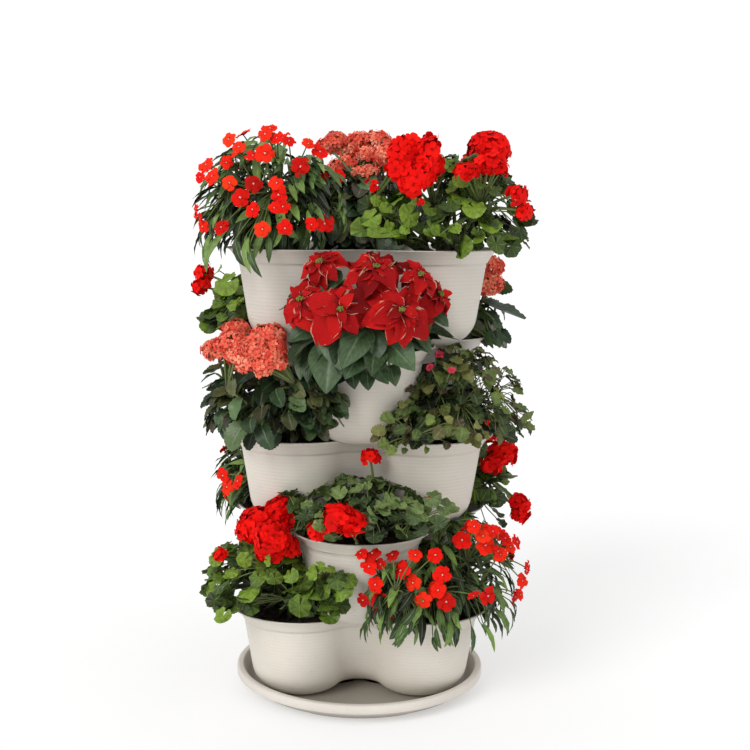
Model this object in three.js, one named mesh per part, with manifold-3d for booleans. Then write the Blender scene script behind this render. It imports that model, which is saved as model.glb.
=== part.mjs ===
// Vertical planter tower: five stacked three-lobed pots on a round saucer, filled and planted.
// Millimetres, +Z up, the floor at zero and the tower's axis on Z. The front looks along -Y.

import * as THREE from "three";
import { mergeVertices } from "three/addons/utils/BufferGeometryUtils.js";
import Module from "manifold-3d";

const wasm = await Module();
wasm.setup();

// Driving dimensions of the stack
const tierCount = 5;
const seatDepth = 3;
const seatGap = 0.3;
const cutOverrun = 5;

// Pot: three round lobes joined by hollow valleys, drafted towards the base
const lobeCount = 3;
const lobeOffset = 84;
const lobeBaseShare = 0.664;
const lobeCollarShare = 0.833;
const valleyBaseShare = 0.22;
const valleyCollarShare = 0.52;
const collarHeight = 94;
const potWall = 2.8;
const potFloor = 3;
const baseEdgeRadius = 30;
const baseEdgeSteps = 3;
const lobeSteps = 9;
const valleySteps = 4;

// Lip: a thin band that flares out above a crisp collar line
const lipHeight = 16;
const lipFlare = 14;
const lipStep = 1.2;
const lipBendRiseShare = 0.55;
const lipBendFlareShare = 0.4;

// Drain holes: one on the axis and two in each lobe
const drainRadius = 3.5;
const drainShift = 11;
const drainSplay = THREE.MathUtils.degToRad(8);
const drainSteps = 8;

// Potting mix, filled to a little below the rim
const mixGap = 0.4;
const mixFreeboard = 12;

// Saucer: a dish with a rolled rim on six foot pads
const saucerOverhang = 16;
const saucerHeight = 27;
const saucerRimWidth = 9;
const saucerRimBand = 11;
const saucerRimRound = 3;
const saucerWall = 3;
const saucerFloorTop = 7;
const saucerFloorInset = 24;
const saucerBendInset = 13;
const saucerBendHeight = 16;
const saucerSteps = 42;
const footHeight = 4;
const footInset = 2;
const footWidth = 12;
const footCount = 6;
const footGapAngle = THREE.MathUtils.degToRad(4);
const footSteps = 6;
const footSink = 1;

// Plants: a neck in the mix, then a leafy mound that spreads over the lip and leans away from the
// tower, with lumps for flower heads and for leaves that reach round the pot above
const plantOverhang = 50;
const plantRootShift = 20;
const plantNeckGap = 9.2;
const plantNeckSpread = 4;
const plantLipGap = 3;
const plantMixGap = 0.3;
const plantPotGap = 3;
const plantSteps = 12;
const plantTopLean = 10;
const leafFringe = 8;
const plantRiseShares = [0.12, 0.32, 0.58, 0.82, 0.98];
const plantSpreadShares = [0.92, 1, 0.85, 0.58, 0.22];
const lumpSteps = 8;
const lumpRows = 5;
const lumpStem = 6;
const lumpStemFoot = 20;
const plantPlantGap = 3;
const liftTravel = 125;

// Lumps: each one's place out from the axis, sideways and up from the rim, and its radius, all as
// shares of the plants' reach
const lumpShares = {
  none: [],
  leftHigh: [
    [0.67, 0.23, 0.5, 0.19],
    [0.53, 0.5, 0.23, 0.19],
  ],
  rightSkirt: [[0.52, -0.52, 0.25, 0.2]],
  frontLow: [[0.88, -0.13, 0.15, 0.1]],
  rearRight: [
    [0.66, -0.36, 0.29, 0.11],
    [0.85, 0.03, 0.385, 0.12],
  ],
  leftClusters: [
    [0.76, 0.2, 0.49, 0.18],
    [0.73, -0.14, 0.5, 0.12],
  ],
  rightSkirtLow: [[0.56, -0.45, 0.13, 0.13]],
  stars: [
    [0.808, 0, 0.26, 0.18],
    [0.74, 0.29, 0.27, 0.17],
    [0.76, -0.28, 0.26, 0.17],
  ],
  rearLeft: [
    [0.69, -0.14, 0.35, 0.115],
    [0.82, 0.19, 0.25, 0.1],
  ],
  rearClusters: [
    [0.64, -0.28, 0.31, 0.1],
    [0.74, 0.05, 0.35, 0.13],
  ],
  highRight: [
    [0.49, -0.33, 0.41, 0.165],
    [0.84, -0.23, 0.46, 0.11],
    [0.94, -0.15, 0.24, 0.08],
    [0.68, 0.09, 0.49, 0.13],
    [0.55, 0.27, 0.41, 0.115],
    [0.28, -0.32, 0.17, 0.13],
  ],
  highRear: [
    [0.5, 0, 0.51, 0.17],
    [0.73, 0, 0.47, 0.13],
  ],
};

// Each plant's height is a share of a tier's step, and its spread a share of the plants' reach
const plants = [
  {
    kind: "geranium", place: "left", tier: 1, azimuth: -60,
    heightShare: 1.1, spreadShare: 0.422, lumps: "leftHigh",
  },
  {
    kind: "impatiens", place: "right", tier: 1, azimuth: 60,
    heightShare: 1.271, spreadShare: 0.45, lumps: "rightSkirt",
  },
  { kind: "foliage", place: "rear", tier: 1, azimuth: 180, heightShare: 0.841, spreadShare: 0.358 },
  {
    kind: "geranium", place: "front", tier: 2, azimuth: 0,
    heightShare: 0.76, spreadShare: 0.404, lumps: "frontLow",
  },
  { kind: "impatiens", place: "rear_left", tier: 2, azimuth: -120, heightShare: 1.009, spreadShare: 0.358 },
  {
    kind: "geranium", place: "rear_right", tier: 2, azimuth: 120,
    heightShare: 0.9, spreadShare: 0.385, lumps: "rearRight",
  },
  {
    kind: "kalanchoe", place: "left", tier: 3, azimuth: -60,
    heightShare: 0.95, spreadShare: 0.385, lumps: "leftClusters",
  },
  {
    kind: "foliage", place: "right", tier: 3, azimuth: 60,
    heightShare: 1.065, spreadShare: 0.422, lumps: "rightSkirtLow",
  },
  { kind: "foliage", place: "rear", tier: 3, azimuth: 180, heightShare: 0.841, spreadShare: 0.358 },
  {
    kind: "poinsettia", place: "front", tier: 4, azimuth: 0,
    heightShare: 0.8, spreadShare: 0.44, lumps: "stars",
  },
  {
    kind: "geranium", place: "rear_left", tier: 4, azimuth: -120,
    heightShare: 0.78, spreadShare: 0.358, lumps: "rearLeft",
  },
  {
    kind: "kalanchoe", place: "rear_right", tier: 4, azimuth: 120,
    heightShare: 0.68, spreadShare: 0.349, lumps: "rearClusters",
  },
  { kind: "impatiens", place: "left", tier: 5, azimuth: -60, heightShare: 1.327, spreadShare: 0.385 },
  {
    kind: "geranium", place: "right", tier: 5, azimuth: 60,
    heightShare: 1.1, spreadShare: 0.413, lumps: "highRight",
  },
  {
    kind: "kalanchoe", place: "rear", tier: 5, azimuth: 180,
    heightShare: 1.1, spreadShare: 0.33, lumps: "highRear",
  },
];

// Colours seen in daylight
const potColour = "#dcd5ca";
const saucerColour = "#cdc7bd";
const mixColour = "#2a2119";
const plantColours = {
  geranium: "#6f8a3a",
  impatiens: "#5d7a36",
  foliage: "#4d6832",
  kalanchoe: "#3d5a34",
  poinsettia: "#9c1f1d",
};

const rimHeight = collarHeight + lipHeight;
const stackPitch = rimHeight - seatDepth;
const mixHeight = rimHeight - mixFreeboard;
const lobeSpacing = (2 * Math.PI) / lobeCount;
const lobeHalfSpacing = lobeSpacing / 2;
const lobeBaseRadius = lobeOffset * lobeBaseShare;
const lobeCollarRadius = lobeOffset * lobeCollarShare;
const valleyBaseRadius = lobeOffset * valleyBaseShare;
const valleyCollarRadius = lobeOffset * valleyCollarShare;
const pottedBase = saucerFloorTop + seatGap;
const saucerRadius = lobeOffset + lobeBaseRadius + saucerOverhang;
const saucerFloorRadius = saucerRadius - saucerFloorInset;
const saucerBendRadius = saucerRadius - saucerBendInset;
const footOuterRadius = saucerFloorRadius - footInset;
const footInnerRadius = footOuterRadius - footWidth;
const plantReach = lobeOffset + lobeCollarRadius + lipFlare + plantOverhang;
const plantRootOffset = lobeOffset + plantRootShift;
const plantNeckRadius = lobeCollarRadius - potWall - plantRootShift - plantNeckGap;

// A level direction at an azimuth counted from the front, turning to the right
function direction(azimuth) {
  return new THREE.Vector2(Math.sin(azimuth), -Math.cos(azimuth));
}

// The pot's outline at a height above its base, pushed out square to itself by an offset.
// Lobe arcs and valley arcs meet tangent, because their centres lie one summed radius apart.
function potOutline(height, offset, turn) {
  const rise = THREE.MathUtils.clamp(height / collarHeight, 0, 1);
  const lobe = THREE.MathUtils.lerp(lobeBaseRadius, lobeCollarRadius, rise);
  const valley = THREE.MathUtils.lerp(valleyBaseRadius, valleyCollarRadius, rise);
  const side = lobeOffset * Math.sin(lobeHalfSpacing);
  const along = Math.sqrt((lobe + valley) ** 2 - side ** 2);
  const valleyOffset = lobeOffset * Math.cos(lobeHalfSpacing) + along;
  const valleySweep = Math.atan2(side, along);
  const lobeSweep = Math.atan2(
    valleyOffset * Math.sin(lobeHalfSpacing),
    valleyOffset * Math.cos(lobeHalfSpacing) - lobeOffset,
  );
  const points = [];
  for (let k = 0; k < lobeCount; k += 1) {
    const azimuth = turn + k * lobeSpacing;
    const lobeCentre = direction(azimuth).multiplyScalar(lobeOffset);
    for (let i = 0; i <= lobeSteps; i += 1) {
      const angle = azimuth - lobeSweep + (2 * lobeSweep * i) / lobeSteps;
      points.push(direction(angle).multiplyScalar(lobe + offset).add(lobeCentre));
    }
    const valleyAzimuth = azimuth + lobeHalfSpacing;
    const valleyCentre = direction(valleyAzimuth).multiplyScalar(valleyOffset);
    for (let i = 1; i < valleySteps; i += 1) {
      const angle = valleyAzimuth + Math.PI + valleySweep - (2 * valleySweep * i) / valleySteps;
      points.push(direction(angle).multiplyScalar(valley - offset).add(valleyCentre));
    }
  }
  return points;
}

// A closed body through rings of equally many 3-D points, with its first and last rings capped.
// The rings run anticlockwise seen from above, and the body grows along them from its base cap.
// Every face is split from its lower left to its upper right, so that nested walls stay parallel.
function ringBody(rings) {
  const count = rings[0].length;
  const index = [];
  for (let r = 0; r + 1 < rings.length; r += 1) {
    for (let i = 0; i < count; i += 1) {
      const a = r * count + i;
      const b = r * count + ((i + 1) % count);
      if (rings[r + 1][0].z < rings[r][0].z) {
        index.push(a, b, a + count, b, b + count, a + count);
      } else {
        index.push(a, b, b + count, a, b + count, a + count);
      }
    }
  }
  const flat = rings[0].map((point) => new THREE.Vector2(point.x, point.y));
  const cap = THREE.ShapeUtils.triangulateShape(flat, []);
  const top = (rings.length - 1) * count;
  for (const [a, b, c] of cap) {
    index.push(c, b, a);
  }
  const flatTop = rings[rings.length - 1].map((point) => new THREE.Vector2(point.x, point.y));
  for (const [a, b, c] of THREE.ShapeUtils.triangulateShape(flatTop, [])) {
    index.push(top + a, top + b, top + c);
  }
  const geometry = new THREE.BufferGeometry();
  geometry.setFromPoints(rings.flat());
  geometry.setIndex(index);
  return geometry;
}

// A body whose rings are pot outlines, from rows of height and offset
function potBody(rows, turn, lift) {
  return ringBody(
    rows.map(([height, offset]) =>
      potOutline(height, offset, turn).map((point) => new THREE.Vector3(point.x, point.y, height + lift)),
    ),
  );
}

// The rounded edge round a base, as rows of height and offset from flat floor to upright wall
function edgeRows(radius, floor, wall) {
  const rows = [];
  for (let i = 0; i <= baseEdgeSteps; i += 1) {
    const turn = (Math.PI / 2) * (i / baseEdgeSteps);
    rows.push([floor + radius * (1 - Math.cos(turn)), wall - radius * (1 - Math.sin(turn))]);
  }
  return rows;
}

// The pot's outside from its base to its collar, grown square to itself by a gap
function outsideRows(gap) {
  return [...edgeRows(baseEdgeRadius + gap, -gap, gap), [collarHeight / 2, gap], [collarHeight, gap]];
}

// The hollow inside from its floor to its collar, shrunk square to itself by a gap
function insideRows(gap) {
  const inset = -potWall - gap;
  const radius = baseEdgeRadius - potFloor - gap;
  return [...edgeRows(radius, potFloor + gap, inset), [collarHeight / 2, inset], [collarHeight, inset]];
}

function toManifold(geometry) {
  const plain = geometry.clone();
  plain.deleteAttribute("normal");
  plain.deleteAttribute("uv");
  const merged = mergeVertices(plain);
  return new wasm.Manifold(
    new wasm.Mesh({
      numProp: 3,
      vertProperties: new Float32Array(merged.attributes.position.array),
      triVerts: new Uint32Array(merged.index.array),
    }),
  );
}

function fromManifold(solid) {
  const mesh = solid.getMesh();
  const geometry = new THREE.BufferGeometry();
  geometry.setAttribute("position", new THREE.BufferAttribute(new Float32Array(mesh.vertProperties), 3));
  geometry.setIndex(new THREE.BufferAttribute(new Uint32Array(mesh.triVerts), 1));
  return geometry;
}

// An upright cylinder from one height to another, at a place on the floor plan
function uprightCylinder(radius, low, high, place, steps) {
  const geometry = new THREE.CylinderGeometry(radius, radius, high - low, steps);
  geometry.rotateX(Math.PI / 2);
  geometry.translate(place.x, place.y, (low + high) / 2);
  return geometry;
}

// One pot, turned so that a lobe looks along the given azimuth, with its base at zero
function potSolid(turn) {
  const bendHeight = collarHeight + lipHeight * lipBendRiseShare;
  const bendFlare = lipStep + (lipFlare - lipStep) * lipBendFlareShare;
  const lip = [
    [collarHeight, lipStep],
    [bendHeight, bendFlare],
    [rimHeight, lipFlare],
    [rimHeight, lipFlare - potWall],
    [bendHeight, bendFlare - potWall],
  ];
  const shell = toManifold(potBody([...outsideRows(0), ...lip, ...insideRows(0).reverse()], turn, 0));
  const seatTool = toManifold(potBody(outsideRows(seatGap), turn + lobeHalfSpacing, stackPitch));
  let pot = shell.subtract(seatTool);
  const places = [new THREE.Vector2(0, 0)];
  for (let k = 0; k < lobeCount; k += 1) {
    for (const splay of [-drainSplay, drainSplay]) {
      places.push(direction(turn + k * lobeSpacing + splay).multiplyScalar(lobeOffset + drainShift));
    }
  }
  for (const place of places) {
    const low = -cutOverrun;
    const high = potFloor + cutOverrun;
    pot = pot.subtract(toManifold(uprightCylinder(drainRadius, low, high, place, drainSteps)));
  }
  return pot;
}

function mixGeometry(turn) {
  return potBody([...insideRows(mixGap), [mixHeight, -potWall - mixGap]], turn, 0);
}

// The dish turned round its axis: underside, wall, rolled rim with a turned-down band, inside, floor
function saucerSolid() {
  const rimTop = saucerHeight;
  const rimInner = saucerRadius - saucerRimWidth;
  const bandInner = saucerRadius - saucerWall;
  const wallOutside = rimInner + saucerWall;
  const slant = saucerRimRound * (1 - Math.SQRT1_2);
  const profile = [
    [0, footHeight],
    [saucerFloorRadius, footHeight],
    [saucerBendRadius + saucerWall, saucerBendHeight - saucerWall],
    [wallOutside, rimTop - saucerWall],
    [bandInner, rimTop - saucerWall],
    [bandInner, rimTop - saucerRimBand],
    [saucerRadius, rimTop - saucerRimBand],
    [saucerRadius, rimTop - saucerRimRound],
    [saucerRadius - slant, rimTop - slant],
    [saucerRadius - saucerRimRound, rimTop],
    [rimInner + saucerRimRound, rimTop],
    [rimInner + slant, rimTop - slant],
    [rimInner, rimTop - saucerRimRound],
    [saucerBendRadius, saucerBendHeight],
    [saucerFloorRadius, saucerFloorTop],
    [0, saucerFloorTop],
  ];
  const dish = new THREE.LatheGeometry(
    profile.map(([radius, height]) => new THREE.Vector2(radius, height)),
    saucerSteps,
  );
  dish.rotateX(Math.PI / 2);
  let saucer = toManifold(dish);
  for (let k = 0; k < footCount; k += 1) {
    const pitch = (2 * Math.PI) / footCount;
    const from = k * pitch - pitch / 2 + footGapAngle / 2;
    const to = k * pitch + pitch / 2 - footGapAngle / 2;
    const inner = [];
    const outer = [];
    for (let i = 0; i <= footSteps; i += 1) {
      const along = direction(THREE.MathUtils.lerp(from, to, i / footSteps));
      inner.push(along.clone().multiplyScalar(footInnerRadius));
      outer.push(along.clone().multiplyScalar(footOuterRadius));
    }
    const pad = new THREE.ExtrudeGeometry(new THREE.Shape([...outer, ...inner.reverse()]), {
      depth: footHeight + footSink,
      bevelEnabled: false,
    });
    saucer = saucer.add(toManifold(pad));
  }
  return saucer;
}

// The room that a pot and its lift need: its outside grown by a gap, and all the space above it
function liftRoom(tier) {
  const lift = pottedBase + (tier - 1) * stackPitch;
  const above = tierCount * stackPitch;
  const rows = [
    ...outsideRows(plantPotGap),
    [rimHeight - plantPotGap, lipFlare + plantPotGap],
    [rimHeight + above, lipFlare + plantPotGap],
  ];
  return toManifold(potBody(rows, tierTurn(tier), lift));
}

// Odd tiers have their hidden lobe at the rear, and even tiers have one lobe at the front
function tierTurn(tier) {
  return tier % 2 === 1 ? lobeHalfSpacing : 0;
}

// Where a plant stands: its azimuth, its outward and sideways directions, and its pot's rim
function plantAxes(plant) {
  const azimuth = THREE.MathUtils.degToRad(plant.azimuth);
  const level = direction(azimuth);
  const outward = new THREE.Vector3(level.x, level.y, 0);
  const sideways = new THREE.Vector3(-level.y, level.x, 0);
  const rim = pottedBase + (plant.tier - 1) * stackPitch + rimHeight;
  return { azimuth, outward, sideways, rim };
}

// The neck and the mound as one body of rings, grown by a gap. The mound ends inside the leaves' tips.
function moundBody(plant, gap) {
  const { azimuth, outward, rim } = plantAxes(plant);
  const height = stackPitch * plant.heightShare - leafFringe;
  const spread = plantReach * plant.spreadShare;
  const middle = plantReach - spread;
  const rows = [
    [rim - mixFreeboard + plantMixGap, plantRootOffset, plantNeckRadius],
    [rim + plantLipGap, plantRootOffset, plantNeckRadius + plantNeckSpread],
  ];
  plantRiseShares.forEach((share, i) => {
    rows.push([rim + height * share, middle + plantTopLean * share, spread * plantSpreadShares[i] - leafFringe]);
  });
  const rings = rows.map(([level, offset, radius]) => {
    const ring = [];
    for (let i = 0; i < plantSteps; i += 1) {
      const around = direction(azimuth + (2 * Math.PI * i) / plantSteps).multiplyScalar(radius + gap);
      const centre = outward.clone().multiplyScalar(offset);
      ring.push(new THREE.Vector3(centre.x + around.x, centre.y + around.y, level));
    }
    return ring;
  });
  return toManifold(ringBody(rings));
}

// A plant's lumps as balls grown by a gap, each with the stem that joins it to the root
function lumpBodies(plant, gap) {
  const { outward, sideways, rim } = plantAxes(plant);
  const root = outward.clone().multiplyScalar(plantRootOffset).setZ(rim + lumpStemFoot);
  return lumpShares[plant.lumps ?? "none"].map((shares) => {
    const [out, side, up, radius] = shares.map((share) => share * plantReach);
    const centre = outward.clone().multiplyScalar(out).addScaledVector(sideways, side).setZ(rim + up);
    const ball = new THREE.SphereGeometry(radius + gap, lumpSteps, lumpRows);
    ball.rotateX(Math.PI / 2);
    ball.translate(centre.x, centre.y, centre.z);
    const along = centre.clone().sub(root);
    const stem = new THREE.CylinderGeometry(lumpStem, lumpStem, along.length(), lumpSteps);
    stem.rotateX(Math.PI / 2);
    stem.lookAt(along);
    const half = root.clone().addScaledVector(along, 1 / 2);
    stem.translate(half.x, half.y, half.z);
    return { ball: toManifold(ball), stem: toManifold(stem) };
  });
}

// The room that a plant of the tier above takes up while its tier is lifted
function plantRoom(plant) {
  const bodies = [moundBody(plant, plantPlantGap), ...lumpBodies(plant, plantPlantGap).map(({ ball }) => ball)];
  return wasm.Manifold.union(
    bodies.map((body) =>
      wasm.Manifold.hull([body.translate([0, 0, -plantPlantGap]), body.translate([0, 0, liftTravel])]),
    ),
  );
}

// A plant as one solid: a cut can leave loose slivers, so only its largest part is kept
function plantSolid(plant) {
  let solid = moundBody(plant, 0);
  for (const { ball, stem } of lumpBodies(plant, 0)) {
    solid = solid.add(ball).add(stem);
  }
  for (const tier of [plant.tier + 1, plant.tier + 2]) {
    if (tier <= tierCount) {
      solid = solid.subtract(liftRoom(tier));
    }
  }
  for (const other of plants.filter(({ tier }) => tier === plant.tier + 1)) {
    solid = solid.subtract(plantRoom(other));
  }
  const parts = solid.decompose();
  parts.sort((a, b) => b.volume() - a.volume());
  return parts[0];
}

function addPiece(group, name, geometry, colour, roughness) {
  geometry.computeVertexNormals();
  const material = new THREE.MeshStandardMaterial({ color: colour, roughness, metalness: 0 });
  const mesh = new THREE.Mesh(geometry, material);
  mesh.name = name;
  group.add(mesh);
  return mesh;
}

const potRoughness = 0.62;
const softRoughness = 0.85;
const group = new THREE.Group();
addPiece(group, "saucer", fromManifold(saucerSolid()), saucerColour, potRoughness);
for (let tier = 1; tier <= tierCount; tier += 1) {
  const stage = new THREE.Group();
  stage.position.z = pottedBase + (tier - 1) * stackPitch;
  group.add(stage);
  const turn = tierTurn(tier);
  addPiece(stage, `tier_${tier}_pot`, fromManifold(potSolid(turn)), potColour, potRoughness);
  addPiece(stage, `tier_${tier}_potting_mix`, mixGeometry(turn), mixColour, softRoughness);
}
for (const plant of plants) {
  const name = `tier_${plant.tier}_${plant.kind}_${plant.place}`;
  addPiece(group, name, fromManifold(plantSolid(plant)), plantColours[plant.kind], softRoughness);
}

export default group;
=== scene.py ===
import math

import bpy
import numpy as np
from mathutils import Matrix


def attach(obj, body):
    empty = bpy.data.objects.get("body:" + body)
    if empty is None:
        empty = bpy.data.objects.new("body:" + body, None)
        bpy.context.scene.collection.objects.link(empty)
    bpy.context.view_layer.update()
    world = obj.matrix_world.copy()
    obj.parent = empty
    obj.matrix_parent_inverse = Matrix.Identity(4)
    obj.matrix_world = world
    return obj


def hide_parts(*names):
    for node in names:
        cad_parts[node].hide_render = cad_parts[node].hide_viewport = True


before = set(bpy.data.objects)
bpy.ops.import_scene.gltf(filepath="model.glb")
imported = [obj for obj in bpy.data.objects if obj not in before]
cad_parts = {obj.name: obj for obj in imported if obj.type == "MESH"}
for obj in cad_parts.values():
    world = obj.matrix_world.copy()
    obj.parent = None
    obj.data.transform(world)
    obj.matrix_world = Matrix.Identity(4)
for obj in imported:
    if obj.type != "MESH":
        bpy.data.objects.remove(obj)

bl_info = {
    "name": "Vertical planter tower",
    "version": (1, 0, 0),
    "blender": (4, 5, 0),
    "location": "View3D > Sidebar > Planter",
    "description": "Stacked three-lobed pots on a saucer, filled and planted with bedding flowers",
    "category": "Add Mesh",
}

# Sizes of the pots in metres, as in the CAD source
TIERS = 5
LOBES = 3
SPACING = 2 * math.pi / LOBES
HALF = SPACING / 2
SEAT_GAP = 0.0003
LOBE_OFFSET = 0.084
LOBE_BASE = LOBE_OFFSET * 0.664
LOBE_COLLAR = LOBE_OFFSET * 0.833
VALLEY_BASE = LOBE_OFFSET * 0.22
VALLEY_COLLAR = LOBE_OFFSET * 0.52
COLLAR = 0.094
POT_WALL = 0.0028
POT_FLOOR = 0.003
BASE_EDGE = 0.030
LIP_HEIGHT = 0.016
LIP_FLARE = 0.014
LIP_STEP = 0.0012
RIM = COLLAR + LIP_HEIGHT
PITCH = RIM - 0.003
PRESSED_RIM = COLLAR + 0.008  # the lowest that a seat presses the rim
MIX_GAP = 0.0004
MIX_HEIGHT = RIM - 0.012
CRUMBS = 420

# Sizes of the saucer
SAUCER_RADIUS = LOBE_OFFSET + LOBE_BASE + 0.016
SAUCER_HEIGHT = 0.027
SAUCER_FLOOR_TOP = 0.007
SAUCER_FLOOR = SAUCER_RADIUS - 0.024
SAUCER_BEND = SAUCER_RADIUS - 0.013
SAUCER_SIDE = 0.016
SAUCER_BAND = 0.011
SAUCER_WALL = 0.003
SAUCER_INNER = SAUCER_RADIUS - 0.009
SAUCER_STEPS = 192
NICK = 0.0006  # the small bevels at its edges
FOOT_HEIGHT = 0.004
FOOT_OUTER = SAUCER_FLOOR - 0.002
FOOT_INNER = FOOT_OUTER - 0.012
FEET = 6
FOOT_GAP = math.radians(4)
BASE = SAUCER_FLOOR_TOP + SEAT_GAP

# Room for the plants, in metres and radians
REACH = LOBE_OFFSET + LOBE_COLLAR + LIP_FLARE + 0.050  # how far from the axis they grow
ROOT_OFFSET = LOBE_OFFSET + 0.020  # where they root
ROOT_SPREAD = 0.026
AIR = 0.0012  # kept to the pots' walls
TOUCH = 0.001  # kept to their own lip and potting mix
EASE = 0.012  # height within which a limit sets in
HANG = 0.048  # how far they hang below the rim
INSIDE = 0.12  # nearer to the axis than this, they stay over the potting mix
POTS_ABOVE_FRONT = 0.171  # further out than this, no pot stands above
SWING = 57.5  # degrees that a plant reaches to each side
KNEE = 0.92  # share of that from which points turn back
SHARED_FROM, SHARED_OVER = 0.46, 0.12  # where the room over and under the neighbours starts
GOLDEN = 2.39996  # the golden angle
UP = np.array([0, 0, 1.0])
BOTH = (True, True)

# The camera of the photograph, fitted to it in pixels, metres and radians
PICTURE, FOCAL, CENTRE = 750, 1264.2, (360.6, 509.9)
EYE, TILT, ROLL = (0, -1.5277, 0.6022), 0.243, 0.008
SENSOR = 36

# The plants: kind, place, tier, azimuth in degrees, height over the rim and spread in metres
PLANTS = [
    ("geranium", "left", 1, -60, 0.146, 0.092),
    ("impatiens", "right", 1, 60, 0.136, 0.098),
    ("foliage", "rear", 1, 180, 0.090, 0.078),
    ("geranium", "front", 2, 0, 0.092, 0.088),
    ("impatiens", "rear_left", 2, -120, 0.108, 0.078),
    ("geranium", "rear_right", 2, 120, 0.112, 0.084),
    ("kalanchoe", "left", 3, -60, 0.146, 0.084),
    ("foliage", "right", 3, 60, 0.114, 0.092),
    ("foliage", "rear", 3, 180, 0.090, 0.078),
    ("poinsettia", "front", 4, 0, 0.118, 0.096),
    ("geranium", "rear_left", 4, -120, 0.096, 0.078),
    ("kalanchoe", "rear_right", 4, 120, 0.100, 0.076),
    ("impatiens", "left", 5, -60, 0.142, 0.084),
    ("geranium", "right", 5, 60, 0.142, 0.090),
    ("kalanchoe", "rear", 5, 180, 0.142, 0.072),
]
NAMES = [f"tier_{tier}_{kind}_{place}" for kind, place, tier, *_ in PLANTS]

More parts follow.
